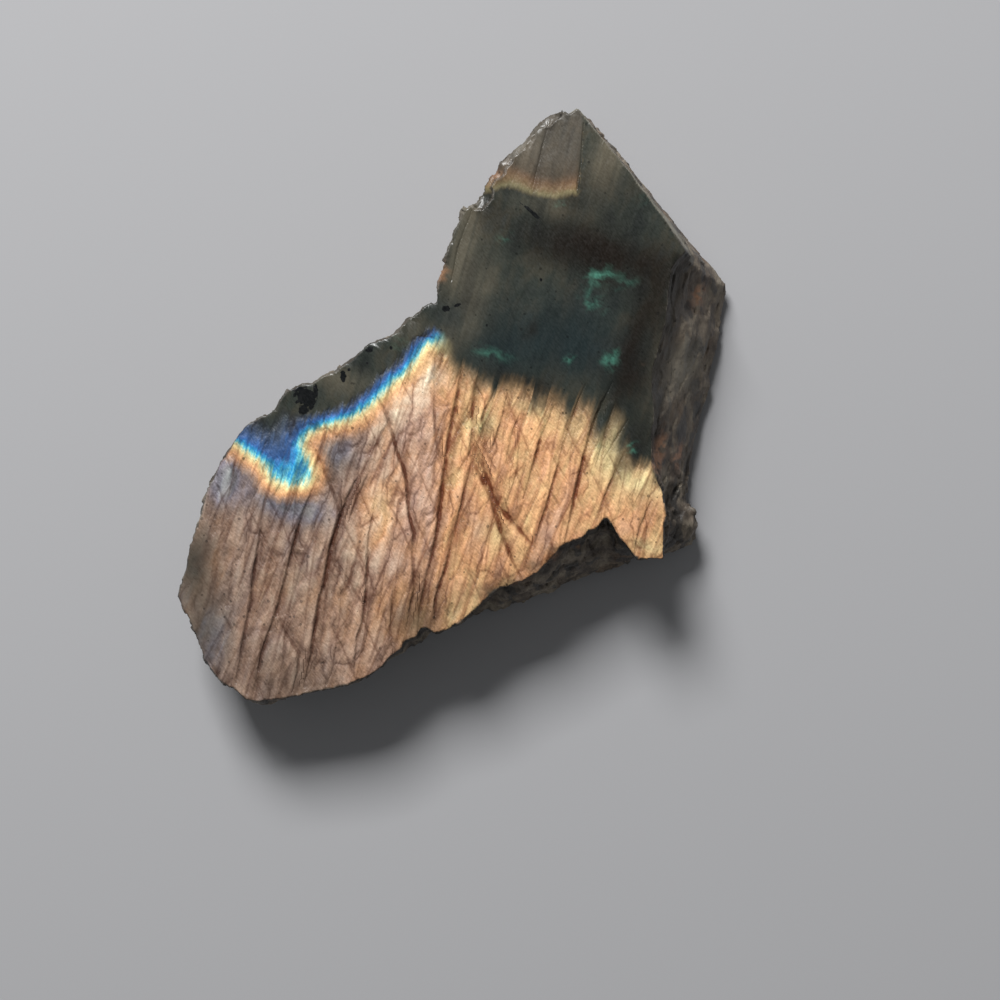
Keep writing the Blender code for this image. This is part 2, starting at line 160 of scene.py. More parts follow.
# Soft patches: which field they change, their middle, half length along the twins, half width, how much.
PATCHES = (
    ("hue", (-27.0, -9.0), 3.6, 2.6, 0.30),
    ("hue", (-19.3, -12.2), 1.8, 4.2, 0.30),
    ("hue", (-29.0, -28.5), 4.0, 2.6, 0.16),
    ("hue", (-13.3, -6.0), 3.0, 2.6, 0.15),
    ("hue", (-9.0, 0.0), 1.6, 2.0, 0.10),
    ("hue", (-8.0, -12.0), 4.5, 2.6, -0.15),
    ("hue", (-8.5, -3.0), 3.0, 2.0, -0.04),
    ("hue", (-6.0, 1.0), 2.5, 2.5, -0.06),
    ("hue", (-2.4, 4.2), 2.0, 1.5, -0.16),
    ("hue", (22.6, -9.2), 2.0, 3.8, -0.05),
    ("hue", (19.0, -4.5), 3.6, 2.0, -0.04),
    ("hue", (4.6, -2.4), 1.6, 1.4, -0.08),
    ("shine", (-3.0, 3.5), 4.0, 2.2, 0.30),
    ("shine", (-6.0, -0.5), 4.0, 2.6, 0.24),
    ("shine", (-10.5, -19.0), 4.5, 2.4, 0.14),
    ("shine", (12.0, -6.0), 6.0, 9.0, 0.12),
    ("shine", (23.3, -8.8), 1.6, 2.5, 0.34),
    ("shine", (10.0, -2.5), 3.0, 5.0, 0.14),
    ("shine", (19.3, -5.0), 2.4, 1.8, 0.30),
    ("shine", (10.0, -15.0), 2.5, 2.0, 0.15),
    ("shine", (23.4, -13.2), 1.8, 2.2, -0.18),
    ("shallow", (-19.4, -7.4), 2.6, 2.6, 0.76),
    ("reach", (5.4, 2.4), 1.4, 0.5, -1.2),
    ("reach", (10.9, 0.8), 1.6, 0.6, -1.4),
    ("reach", (14.5, 0.2), 2.4, 0.5, -2.0),
    ("reach", (16.3, -0.6), 1.6, 0.5, 0.8),
    ("reach", (18.3, -1.4), 3.6, 0.7, -3.0),
    ("reach", (20.6, -4.2), 1.8, 0.5, -1.6),
    ("cream", (-2.4, 4.0), 2.4, 1.8, 1.20),
    ("cream", (-6.2, 0.4), 3.4, 2.4, 0.60),
    ("cream", (-8.5, -4.0), 3.0, 1.8, 0.30),
    ("cream", (-8.0, -11.5), 3.6, 2.2, 0.40),
    ("cream", (-11.0, -19.0), 5.0, 2.6, 0.30),
    ("cream", (-19.5, -21.5), 4.5, 3.0, 0.25),
    ("straw", (22.8, -9.2), 1.9, 3.6, 0.75),
    ("straw", (19.0, -4.7), 3.4, 2.0, 0.80),
    ("straw", (23.6, -16.9), 0.7, 2.2, 0.80),
    ("straw", (14.6, -3.0), 2.4, 1.5, 0.45),
    ("straw", (9.4, -0.3), 0.8, 3.6, 0.50),
    ("straw", (4.4, -2.2), 1.6, 1.3, 0.50),
    ("straw", (5.6, -15.4), 1.2, 2.2, 0.35),
    ("shine", (-4.0, -12.0), 4.0, 2.0, 0.28),
    ("glow", (-27.5, -9.0), 3.0, 2.5, 0.10),
    ("glow", (-31.2, -18.5), 5.5, 3.0, -0.52),
    ("glow", (-30.0, -27.0), 7.0, 3.5, -0.40),
    ("glow", (-19.5, -11.8), 2.2, 3.0, -0.20),
    ("glow", (12.7, -17.6), 0.9, 1.4, -0.60),
    ("glow", (10.2, -19.4), 0.9, 1.4, -0.60),
    ("glow", (7.6, -21.2), 0.9, 1.5, -0.70),
    ("glow", (5.2, -22.6), 1.0, 1.6, -0.80),
    ("glow", (-13.6, -6.6), 2.8, 2.4, -0.30),
    ("glow", (-8.0, -12.0), 4.0, 2.2, 0.22),
    ("glow", (-18.0, -34.0), 4.0, 9.0, -0.28),
    ("hue", (-4.0, -25.0), 5.0, 5.0, -0.14),
    ("glow", (-4.0, -26.0), 5.0, 4.5, -0.76),
    ("glow", (3.0, -23.0), 2.5, 3.0, -0.20),
    ("glow", (4.6, -2.4), 1.4, 1.2, -0.22),
    ("brown", (17.6, 18.2), 2.2, 8.0, 1.90),
    ("brown", (28.5, -13.5), 2.5, 2.5, 1.10),
    ("brown", (20.0, 25.0), 4.0, 4.0, 0.20),
    ("brown", (24.4, 12.0), 5.0, 2.2, 0.80),
    ("brown", (21.8, 6.5), 6.0, 0.8, 0.90),
    ("brown", (15.0, 24.5), 3.0, 2.0, 0.35),
    ("brown", (4.6, 23.6), 1.7, 1.8, 0.35),
    ("brown", (8.5, 2.6), 0.9, 3.6, 0.90),
    ("brown", (22.0, 3.5), 4.0, 3.0, 0.80),
    ("brown", (16.0, -6.6), 1.3, 0.7, 0.90),
    ("brown", (5.6, -12.0), 1.8, 0.8, 0.80),
    ("brown", (22.8, -4.2), 2.6, 1.5, 0.70),
    ("deep", (15.0, 7.0), 3.4, 8.0, 0.80),
    ("deep", (9.0, 8.0), 5.0, 7.0, 0.15),
    ("deep", (6.0, 6.5), 2.2, 3.5, 0.60),
    ("deep", (-0.3, 10.8), 1.5, 1.6, 0.75),
    ("brown", (9.2, 8.9), 0.5, 1.0, 0.90),
    ("brown", (2.2, 12.6), 0.5, 0.7, 0.50),
    ("deep", (16.5, 11.5), 2.5, 3.0, 0.40),
    ("pale", (12.5, 32.0), 4.5, 3.5, 0.22),
    ("pale", (8.5, 31.0), 2.2, 1.6, 0.42),
    ("pale", (19.0, 29.2), 3.8, 1.8, 0.70),
    ("pale", (28.2, 4.6), 4.0, 2.2, 1.00),
    ("pale", (12.0, 23.6), 0.9, 4.5, 0.28),
    ("pale", (1.6, 19.5), 5.0, 1.8, 0.50),
    ("pale", (2.2, 23.2), 1.2, 0.9, 0.60),
    ("pale", (2.5, 14.0), 4.0, 2.6, 0.30),
    ("pale", (1.2, 9.8), 2.0, 2.6, 0.25),
    ("pale", (24.4, 4.6), 4.5, 0.6, 0.25),
    ("pale", (-13.5, 3.2), 1.3, 5.0, 0.30),
    ("pale", (-5.0, 9.0), 1.3, 4.0, 0.20),
    ("teal", (-6.0, 7.5), 1.4, 1.6, 0.22),
    ("teal", (18.2, 14.9), 0.8, 1.8, 1.05),
    ("teal", (21.2, 14.9), 0.4, 1.4, 0.50),
    ("teal", (16.8, 12.4), 0.6, 1.0, 0.62),
    ("teal", (18.1, 11.3), 0.6, 0.7, 0.55),
    ("teal", (14.6, 5.3), 0.6, 1.0, 0.65),
    ("teal", (19.2, 5.4), 0.9, 1.0, 0.70),
    ("teal", (6.4, 20.0), 0.9, 0.8, 0.42),
    ("teal", (13.3, 24.1), 0.6, 0.8, 0.50),
    ("teal", (23.0, 24.2), 0.9, 0.8, 0.35),
    ("teal", (21.6, -5.2), 0.6, 0.5, 0.80),
    ("teal", (5.0, 6.2), 0.8, 3.0, 0.40),
    ("ember", (-0.7, 15.7), 1.1, 0.8, 0.75),
    ("ember", (25.3, -5.6), 2.0, 0.7, 1.40),
    ("ember", (27.9, -6.0), 1.4, 0.5, 1.10),
    ("ember", (5.2, 28.0), 0.9, 1.0, 0.50),
    ("ember", (30.4, 13.8), 1.4, 0.8, 0.80),
    ("ember", (13.0, -18.6), 1.2, 2.0, 0.42),
    ("ember", (8.8, -21.2), 1.2, 1.6, 0.36),
    ("ember", (17.0, -17.6), 1.0, 1.5, 0.30),
    ("ember", (23.0, 5.2), 0.5, 0.7, 0.40),
)
FIELDS = (
    "hue", "shallow", "reach", "glow", "shine", "cream", "straw", "brown", "deep", "pale", "teal", "ember",
)


def distance_to_line(places, line):
    """How far each place lies from a line of straight stretches."""
    nearest = np.full(len(places), np.inf)
    for start, end in zip(np.array(line), np.array(line[1:])):
        step = end - start
        share = np.clip((places - start) @ step / (step @ step), 0, 1)
        nearest = np.minimum(nearest, np.linalg.norm(places - start - share[:, None] * step, axis=1))
    return nearest


def is_inside(places, outline):
    """Whether each place lies inside a closed outline, by the edges that a ray to the right crosses."""
    inside = np.zeros(len(places), bool)
    for (ax, ay), (bx, by) in zip(outline, outline[1:] + outline[:1]):
        if ay != by:
            spans = (ay > places[:, 1]) != (by > places[:, 1])
            inside ^= spans & (places[:, 0] < (bx - ax) * (places[:, 1] - ay) / (by - ay) + ax)
    return inside


def along_and_across(places, middle):
    """Offsets from a middle, along the twin planes and across them."""
    along = np.array((math.sin(TWIN_LEAN), math.cos(TWIN_LEAN)))
    across = np.array((math.cos(TWIN_LEAN), -math.sin(TWIN_LEAN)))
    return (places - middle) @ along, (places - middle) @ across


def patch_field(places, name):
    """The sum of the soft patches of one field."""
    total = np.zeros(len(places))
    for field, middle, half_length, half_width, amount in PATCHES:
        if field == name:
            along, across = along_and_across(places, np.array(middle))
            total += amount * np.exp(-((along / half_length) ** 2) - (across / half_width) ** 2)
    return total


def store(mesh, name, values):
    mesh.attributes.new(name, "FLOAT", "POINT").data.foreach_set("value", values.astype(np.float32))


def mark_colours(mesh):
    """Stores the colour fields, and where the skin is ground, sawn or broken, at the mesh's corners."""
    corners = places_of(mesh)
    upward = normals_of(mesh)[:, 2]
    places = corners[:, :2]
    dark = is_inside(places, FLASH_EDGE + ROUND_THE_HEAD)
    store(mesh, "flash_edge", distance_to_line(places, FLASH_EDGE) * np.where(dark, -1, 1))
    tip = is_inside(places, TIP_EDGE + TIP_END[1:] + ROUND_THE_TIP)
    store(mesh, "tip_edge", distance_to_line(places, TIP_EDGE) * np.where(tip, 1, -1))
    store(mesh, "tip_end", distance_to_line(places, TIP_END))
    worn = smooth_step(-distance_to_line(places, WORN_EDGE), -WORN_WIDTH - 0.4, -WORN_WIDTH)
    worn *= smooth_step(corners[:, 2], LOWEST_FACE, WORN_DEPTH)
    store(mesh, "worn", worn)
    facet = smooth_step(places[:, 0], 20, 23) * smooth_step(places[:, 1], -10, -6)
    store(mesh, "calm", np.maximum(worn * 0.9, facet * 0.5))
    for name in FIELDS:
        store(mesh, name, patch_field(places, name))
    high = smooth_step(corners[:, 2], LOWEST_FACE, LOWEST_FACE + 1)
    store(mesh, "ground", smooth_step(upward, 0.74, 0.90) * high)
    store(mesh, "sawn", smooth_step(-upward, 0.90, 0.985) * (corners[:, 2] < UNDERSIDE_TOP))


mark_colours(stone.data)

# Cracks
# Old cracks in the feldspar that follow the twin planes, and a few that cut across them. Each is open at
# the ground face as a valley with one steep side. A row is how open one is, and its points downwards.

CRACKS = (
    (1.0, ((-8.9, 1.2), (-8.0, -0.3), (-7.4, -2.0), (-6.8, -4.0), (-6.3, -6.0), (-5.6, -7.5), (-5.2, -9.5),
           (-4.9, -13.5), (-4.3, -15.5), (-4.5, -18.0), (-4.3, -22.0), (-4.8, -24.5), (-5.5, -28.0))),
    (1.3, ((-11.3, -9.0), (-12.3, -11.0), (-13.0, -12.8), (-13.6, -14.5), (-14.4, -17.0), (-15.2, -21.5),
           (-15.8, -23.5), (-16.2, -26.0), (-16.8, -30.0), (-17.5, -33.5))),
    (0.8, ((-10.2, -9.0), (-11.3, -11.5), (-12.0, -13.5))),
    (0.9, ((-16.0, -6.0), (-15.2, -8.0), (-14.4, -9.8), (-13.3, -12.7))),
    (1.0, ((-16.3, -9.5), (-17.6, -12.5), (-18.3, -14.5), (-19.3, -18.5), (-20.7, -24.0), (-21.2, -25.5),
           (-22.7, -29.5), (-23.7, -34.5))),
    (1.0, ((-22.5, -12.0), (-23.0, -16.0), (-23.7, -20.0), (-24.1, -24.0), (-25.0, -28.0), (-25.8, -33.0))),
    (0.8, ((-21.2, -25.5), (-19.7, -27.7), (-18.2, -30.0), (-18.4, -32.0), (-19.0, -34.5))),
    (0.6, ((-13.2, -19.5), (-11.5, -22.5), (-10.7, -23.8))),
    (0.7, ((-13.2, -23.2), (-13.2, -25.0), (-12.5, -26.5))),
    (0.8, ((-9.0, -11.5), (-9.8, -16.0), (-10.1, -22.0), (-10.5, -26.0), (-11.2, -28.0), (-11.5, -31.0))),
    (0.7, ((-6.9, -23.0), (-7.2, -27.0), (-6.9, -30.0))),
    (0.7, ((-1.8, 5.4), (-1.9, -1.0), (-1.6, -4.8), (-0.9, -7.2))),
    (1.25, ((1.4, 4.8), (1.1, 2.2), (0.7, 0.3), (-0.1, -3.7), (-0.7, -8.0), (-1.4, -14.0), (-1.9, -17.0),
           (-2.8, -20.5), (-3.6, -24.5), (-3.9, -27.5))),
    (1.0, ((2.6, -7.0), (1.5, -11.5), (0.3, -16.0), (-0.5, -19.5), (-1.8, -23.5), (-1.8, -27.0))),
    (1.1, ((3.3, 2.8), (2.8, 0.3), (2.6, -1.5), (2.8, -2.6), (2.4, -6.0))),
    (0.5, ((1.0, 0.0), (2.3, -1.9), (3.3, -3.7), (4.5, -6.0), (5.7, -8.2), (6.9, -10.1))),
    (1.4, ((2.8, -4.9), (3.9, -7.2), (5.2, -11.2), (5.8, -12.2), (8.2, -14.8), (9.8, -16.8))),
    (1.2, ((2.4, -5.9), (3.3, -7.9), (5.0, -11.4), (6.0, -15.0), (7.3, -18.2), (8.4, -20.5))),
    (0.7, ((5.5, 2.0), (4.1, -1.0), (3.9, -1.9), (4.1, -4.2), (4.5, -5.3))),
    (0.7, ((6.8, 0.9), (6.4, -1.2), (5.6, -3.8), (4.9, -5.6))),
    (0.6, ((8.2, -1.6), (7.4, -3.7), (6.9, -6.2))),
    (0.6, ((8.1, -3.0), (8.3, -4.8), (8.1, -8.0), (7.1, -10.9))),
    (0.9, ((12.3, -0.6), (10.9, -4.0), (10.1, -6.9), (9.0, -10.7))),
    (0.8, ((13.6, -4.5), (12.8, -8.0), (11.8, -11.5), (10.9, -14.2), (10.2, -16.8))),
    (0.8, ((16.0, 1.9), (15.1, -0.2), (14.3, -2.5), (13.3, -5.9))),
    (1.1, ((19.2, 2.2), (17.9, -0.6), (16.8, -3.5), (16.0, -6.4), (14.9, -11.3), (13.9, -16.0))),
    (0.6, ((19.5, -0.6), (18.8, -2.6), (17.6, -7.0))),
    (0.6, ((21.0, -2.3), (19.6, -4.5), (18.6, -6.2))),
    (0.7, ((20.7, -6.2), (19.4, -9.1), (18.3, -11.6))),
    (0.6, ((23.9, -12.0), (22.8, -14.5), (22.2, -17.0))),
    (0.5, ((16.0, 33.1), (15.7, 29.0), (15.3, 26.4))),
    (0.5, ((12.0, 34.6), (11.0, 30.5), (10.0, 26.5))),
    (0.5, ((2.4, 22.8), (1.0, 19.0), (0.3, 15.5))),
)
CRACK_DEPTH = 0.22
CRACK_STEEP_SIDE = 0.16
CRACK_SOFT_SIDE = 0.85
CRACK_POINT_STEP = 0.25

# The whole ground face is a little uneven from grinding.
SWELL_SIZE = 9.0
SWELL_HEIGHT = 0.22

# Fracture relief of the broken sides: flat cleavage chips, each a step out or in and tilted its own way,
# with smaller chips on them, then lumps and grit. It fades out where the stone meets the ground.
BLOCK_LENGTH = 3.4
BLOCK_WIDTH = 2.0
BLOCK_STEP = 0.15
BLOCK_TILT = 0.80
SHARD_LENGTH = 1.2
SHARD_WIDTH = 0.9
SHARD_STEP = 0.06
SHARD_TILT = 0.26
LUMP_SIZE = 2.6
LUMP_HEIGHT = 0.34
GRIT_SIZE = 0.40
GRIT_HEIGHT = 0.09
GROUND_FADE = 1.2
SEED = 7.0


def add(tree, kind, inputs=(), **settings):
    """Adds a node. inputs maps a socket's name or number to a value, an output or a node."""
    made = tree.nodes.new(kind)
    for name, value in settings.items():
        setattr(made, name, value)
    for key, value in dict(inputs).items():
        if isinstance(value, bpy.types.Node):
            value = value.outputs[0]
        if isinstance(value, bpy.types.NodeSocket):
            tree.links.new(value, made.inputs[key])
        else:
            made.inputs[key].default_value = value
    return made


def crack_curves():
    """The crack lines as curves on the ground plan. A point's radius says how open the crack is there."""
    curves = bpy.data.curves.new("crack_lines", "CURVE")
    curves.dimensions = "3D"
    for strength, places in CRACKS:
        spline = curves.splines.new("POLY")
        spline.points.add(len(places) - 1)
        for i, (point, place) in enumerate(zip(spline.points, places)):
            point.co = (place[0] * MM, place[1] * MM, 0, 1)
            share = (i + 0.35) / (len(places) - 0.3)
            point.radius = strength * math.sin(math.pi * share) ** 0.5
    lines = bpy.data.objects.new("crack_lines", curves)
    bpy.context.scene.collection.objects.link(lines)
    return lines


def stretched(tree, millimetres, lean, length, width):
    """Coordinates that run along a direction leaning from +Y to +X, in units of length and width."""
    turned = add(
        tree, "ShaderNodeVectorRotate", {"Vector": millimetres, "Angle": lean}, rotation_type="Z_AXIS",
    )
    size = (1 / width, 1 / length, 1 / width)
    return add(tree, "ShaderNodeVectorMath", {0: turned.outputs[0], 1: size}, operation="MULTIPLY").outputs[0]


def relief_tree():
    """Geometry Nodes that break the sides of the stone, and open the cracks of its ground face."""
    tree = bpy.data.node_groups.new("fracture_relief", "GeometryNodeTree")
    sockets = tree.interface
    sockets.new_socket("Geometry", in_out="OUTPUT", socket_type="NodeSocketGeometry")
    sockets.new_socket("Geometry", in_out="INPUT", socket_type="NodeSocketGeometry")
    sockets.new_socket("Crack lines", in_out="INPUT", socket_type="NodeSocketObject")
    sockets.new_socket("Stone", in_out="INPUT", socket_type="NodeSocketMaterial")
    for name, value in (
        ("Crack depth", CRACK_DEPTH),
        ("Swell height", SWELL_HEIGHT),
        ("Block step", BLOCK_STEP),
        ("Block tilt", BLOCK_TILT),
        ("Shard step", SHARD_STEP),
        ("Shard tilt", SHARD_TILT),
        ("Lump height", LUMP_HEIGHT),
        ("Grit height", GRIT_HEIGHT),
        ("Seed", SEED),
    ):
        sockets.new_socket(name, in_out="INPUT", socket_type="NodeSocketFloat").default_value = value
    given = add(tree, "NodeGroupInput").outputs

    field = {
        name: add(tree, "GeometryNodeInputNamedAttribute", {"Name": name}, data_type="FLOAT")
        for name in ("ground", "sawn", "calm")
    }
    position = add(tree, "GeometryNodeInputPosition").outputs[0]
    millimetres = add(
        tree, "ShaderNodeVectorMath", {0: position, "Scale": 1 / MM}, operation="SCALE",
    ).outputs[0]
    broken = add(tree, "ShaderNodeMath", {0: 1.0, 1: field["ground"]}, operation="SUBTRACT")
    broken = add(tree, "ShaderNodeMath", {0: broken, 1: field["sawn"]}, operation="SUBTRACT")

    # The nearest point of the crack lines, which side of it a place is on, and how open the crack is there.
    lines = add(tree, "GeometryNodeObjectInfo", {"Object": given["Crack lines"]}).outputs["Geometry"]
    points = add(tree, "GeometryNodeCurveToPoints", {"Curve": lines}, mode="LENGTH")
    points.inputs["Length"].default_value = CRACK_POINT_STEP * MM
    plan = add(
        tree, "ShaderNodeVectorMath", {0: position, 1: (1.0, 1.0, 0.0)}, operation="MULTIPLY",
    ).outputs[0]
    nearest = add(
        tree, "GeometryNodeSampleNearest", {"Geometry": points.outputs["Points"], "Sample Position": plan},
        domain="POINT",
    )

    def at_nearest(source, data_type):
        sample = add(
            tree, "GeometryNodeSampleIndex",
            {"Geometry": points.outputs["Points"], "Index": nearest.outputs[0]}, data_type=data_type,
            domain="POINT",
        )
        tree.links.new(source, sample.inputs["Value"])
        return sample.outputs[0]

    found = at_nearest(position, "FLOAT_VECTOR")
    tangent = at_nearest(points.outputs["Tangent"], "FLOAT_VECTOR")
    openness = at_nearest(add(tree, "GeometryNodeInputRadius").outputs[0], "FLOAT")
    away = add(tree, "ShaderNodeVectorMath", {0: plan, 1: found}, operation="SUBTRACT").outputs[0]
    distance = add(tree, "ShaderNodeVectorMath", {0: away}, operation="LENGTH").outputs[1]
    distance = add(tree, "ShaderNodeMath", {0: distance, 1: MM}, operation="DIVIDE")
    turned = add(tree, "ShaderNodeVectorMath", {0: tangent, 1: away}, operation="CROSS_PRODUCT").outputs[0]
    side = add(tree, "ShaderNodeSeparateXYZ", {0: turned}).outputs[2]
    side = add(tree, "ShaderNodeMath", {0: side, 1: MM}, operation="DIVIDE")
    on_right = add(tree, "ShaderNodeMath", {0: side, 1: 0.0}, operation="GREATER_THAN")
    fade = add(
        tree, "ShaderNodeMath", {0: on_right, 1: CRACK_SOFT_SIDE - CRACK_STEEP_SIDE, 2: CRACK_STEEP_SIDE},
        operation="MULTIPLY_ADD",
    )
    fade = add(tree, "ShaderNodeMath", {0: fade, 1: -1.0}, operation="MULTIPLY")
    valley = add(tree, "ShaderNodeMath", {0: distance, 1: fade}, operation="DIVIDE")
    valley = add(tree, "ShaderNodeMath", {0: valley}, operation="EXPONENT")
    valley = add(tree, "ShaderNodeMath", {0: valley, 1: openness}, operation="MULTIPLY")

    swell = add(tree, "ShaderNodeTexNoise", {"Vector": millimetres, "Scale": 1 / SWELL_SIZE, "Detail": 1.0})
    swell = add(tree, "ShaderNodeMath", {0: swell, 1: 0.5}, operation="SUBTRACT")
    swell = add(tree, "ShaderNodeMath", {0: swell, 1: given["Swell height"]}, operation="MULTIPLY")
    valley = add(tree, "ShaderNodeMath", {0: valley, 1: given["Crack depth"]}, operation="MULTIPLY")
    face = add(tree, "ShaderNodeMath", {0: swell, 1: valley}, operation="SUBTRACT")
    face = add(tree, "ShaderNodeMath", {0: face, 1: field["ground"]}, operation="MULTIPLY")

    # Chips: each cell has a random level, and a random slope about its own middle.
    rough = 0.0
    for length, width, step, tilt in (
        (BLOCK_LENGTH, BLOCK_WIDTH, given["Block step"], given["Block tilt"]),
        (SHARD_LENGTH, SHARD_WIDTH, given["Shard step"], given["Shard tilt"]),
    ):
        place = stretched(tree, millimetres, TWIN_LEAN, length, width)
        cells = add(
            tree, "ShaderNodeTexVoronoi", {"Vector": place, "W": given["Seed"], "Scale": 1.0},
            voronoi_dimensions="4D", feature="F1",
        )
        slope = add(
            tree, "ShaderNodeVectorMath", {0: cells.outputs["Color"], 1: (0.5, 0.5, 0.5)},
            operation="SUBTRACT",
        ).outputs[0]
        offset = add(
            tree, "ShaderNodeVectorMath", {0: place, 1: cells.outputs["Position"]}, operation="SUBTRACT",
        )
        lean = add(tree, "ShaderNodeVectorMath", {0: offset.outputs[0], 1: slope}, operation="DOT_PRODUCT")
        level = add(tree, "ShaderNodeSeparateXYZ", {0: slope}).outputs[0]
        rough = add(tree, "ShaderNodeMath", {0: level, 1: step, 2: rough}, operation="MULTIPLY_ADD")
        rough = add(
            tree, "ShaderNodeMath", {0: lean.outputs["Value"], 1: tilt, 2: rough}, operation="MULTIPLY_ADD",
        )

    # Lumps and grit lie over the chips. All of it fades out at the ground, and is weak on smooth cleavage.
    for size, detail, rise in (
        (LUMP_SIZE, 3.0, given["Lump height"]),
        (GRIT_SIZE, 2.0, given["Grit height"]),
    ):
        inputs = {"Vector": millimetres, "W": given["Seed"], "Scale": 1 / size, "Detail": detail}
        lumps = add(tree, "ShaderNodeTexNoise", inputs, noise_dimensions="4D")
        lumps = add(tree, "ShaderNodeMath", {0: lumps, 1: 0.5}, operation="SUBTRACT")
        rough = add(tree, "ShaderNodeMath", {0: lumps, 1: rise, 2: rough}, operation="MULTIPLY_ADD")
    above_ground = add(tree, "ShaderNodeSeparateXYZ", {0: millimetres}).outputs[2]
    above_ground = add(tree, "ShaderNodeMath", {0: above_ground, 1: GROUND_FADE}, operation="DIVIDE")
    above_ground = add(tree, "ShaderNodeMath", {0: above_ground, 1: 0.0}, operation="MAXIMUM")
    above_ground = add(tree, "ShaderNodeMath", {0: above_ground, 1: 1.0}, operation="MINIMUM")
    lively = add(tree, "ShaderNodeMath", {0: 1.0, 1: field["calm"]}, operation="SUBTRACT")
    for share in (above_ground, lively):
        rough = add(tree, "ShaderNodeMath", {0: rough, 1: share}, operation="MULTIPLY")
    height = add(tree, "ShaderNodeMath", {0: rough, 1: broken, 2: face}, operation="MULTIPLY_ADD")

    normal = add(tree, "GeometryNodeInputNormal").outputs[0]
    height = add(tree, "ShaderNodeMath", {0: height, 1: MM}, operation="MULTIPLY")
    offset = add(tree, "ShaderNodeVectorMath", {0: normal, "Scale": height}, operation="SCALE")
    geometry = given["Geometry"]
    for name, value in (("crack_side", side), ("crack_distance", distance), ("crack_openness", openness)):
        geometry = add(
            tree, "GeometryNodeStoreNamedAttribute", {"Geometry": geometry, "Name": name, "Value": value},
            data_type="FLOAT", domain="POINT",
        ).outputs[0]
    moved = add(tree, "GeometryNodeSetPosition", {"Geometry": geometry, "Offset": offset.outputs[0]})
    real = add(tree, "GeometryNodeRealizeInstances", {"Geometry": moved.outputs[0]})
    painted = add(tree, "GeometryNodeSetMaterial", {"Geometry": real.outputs[0], "Material": given["Stone"]})
    add(tree, "NodeGroupOutput", {0: painted.outputs[0]})
    return tree


# Labradorite, as broken, and ground on one face
# A grey-green feldspar with a satin ground face. Under that face thin layers throw back blue, gold and
# copper light; cracks, twin strips and pits break the flash up. The broken sides are dark and rough.

FLASH_COLOURS = (
    (0.00, "#3A3F42"),
    (0.09, "#45597A"),
    (0.18, "#3A6CB0"),
    (0.26, "#2F9BD2"),
    (0.32, "#7AD2D4"),
    (0.37, "#E2EEC4"),
    (0.42, "#FAE6A6"),
    (0.48, "#F6C88E"),
    (0.56, "#EAAE7C"),
    (0.66, "#CBA084"),
    (0.78, "#B59A8E"),
    (0.88, "#A198A4"),
    (1.00, "#9CA2A8"),
)

# Black grains of iron ore in the stone, seen at the ground face: middle, half sizes, lean.
ORE_GRAINS = (
    ((-17.7, 1.1), (1.20, 1.05), 0.3),
    ((-16.8, 0.8), (0.75, 1.20), -0.4),
    ((-17.7, -0.5), (0.55, 0.75), 0.0),
    ((-16.3, 2.0), (0.40, 0.50), 0.0),
    ((-18.6, 2.0), (0.45, 0.40), 0.0),
    ((-12.9, 3.5), (0.40, 0.65), 0.2),
    ((-9.7, 6.7), (0.50, 0.35), 0.6),
    ((-12.2, 4.3), (0.20, 0.20), 0.0),
    ((-10.0, 5.1), (0.18, 0.18), 0.0),
    ((-7.1, 6.9), (0.18, 0.20), 0.0),
    ((9.6, 23.3), (1.45, 0.22), -0.69),
    ((-0.6, 11.6), (0.60, 0.40), 0.0),
    ((0.9, 12.0), (0.50, 0.22), 0.3),
    ((4.4, 9.6), (0.15, 0.20), 0.0),
    ((10.9, 15.0), (0.15, 0.20), 0.0),
    ((-9.9, 12.6), (0.15, 0.20), 0.0),
)

# Families of finer cracks: their lean from +Y to +X, spacing, line width, darkness, and reach of their shade.
FINE_CRACKS = (
    (math.radians(17), 2.3, 0.42, 0.62, 1.50),
    (math.radians(25), 1.9, 0.30, 0.54, 0.90),
    (math.radians(8), 1.7, 0.26, 0.48, 0.70),
    (math.radians(19), 0.8, 0.18, 0.20, 0.30),
    (math.radians(-26), 3.0, 0.24, 0.50, 0.50),
)

# The net of hair cracks: a mesh's length and width, width of a line, how far it wanders, how dark it is.
NET_SIZE = (8.0, 2.2)
NET_LINE = 0.19
NET_WARP = 1.3
NET_DARKNESS = 0.56

# Each family of fine cracks is shifted, so that no two start in one place, and its lines sway together.
FAMILY_SHIFT = 10.5
CRACK_SWAY = 1.5
CRACK_SHIVER = 0.25

SCRATCH_LEAN = math.radians(-38)
SAW_LEAN = math.radians(70)
FAR_FROM_ORE = 10.0

# What the skin stores besides the soft patches.
SKIN_FIELDS = (
    "flash_edge", "tip_edge", "tip_end", "crack_side", "crack_distance", "crack_openness", "ground", "sawn",
    "worn", "ridge",
)


def linear(colour):
    """An sRGB hex colour as linear light, with alpha."""
    channels = [int(colour[i : i + 2], 16) / 255 for i in (1, 3, 5)]
    return [c / 12.92 if c <= 0.04045 else ((c + 0.055) / 1.055) ** 2.4 for c in channels] + [1.0]


def set_ramp(ramp, stops):
    """Gives a colour ramp these (place, colour) stops."""
    elements = ramp.color_ramp.elements
    while len(elements) < len(stops):
        elements.new(0.5)
    for element, (place, colour) in zip(elements, stops):
        element.position = place
        element.color = linear(colour)


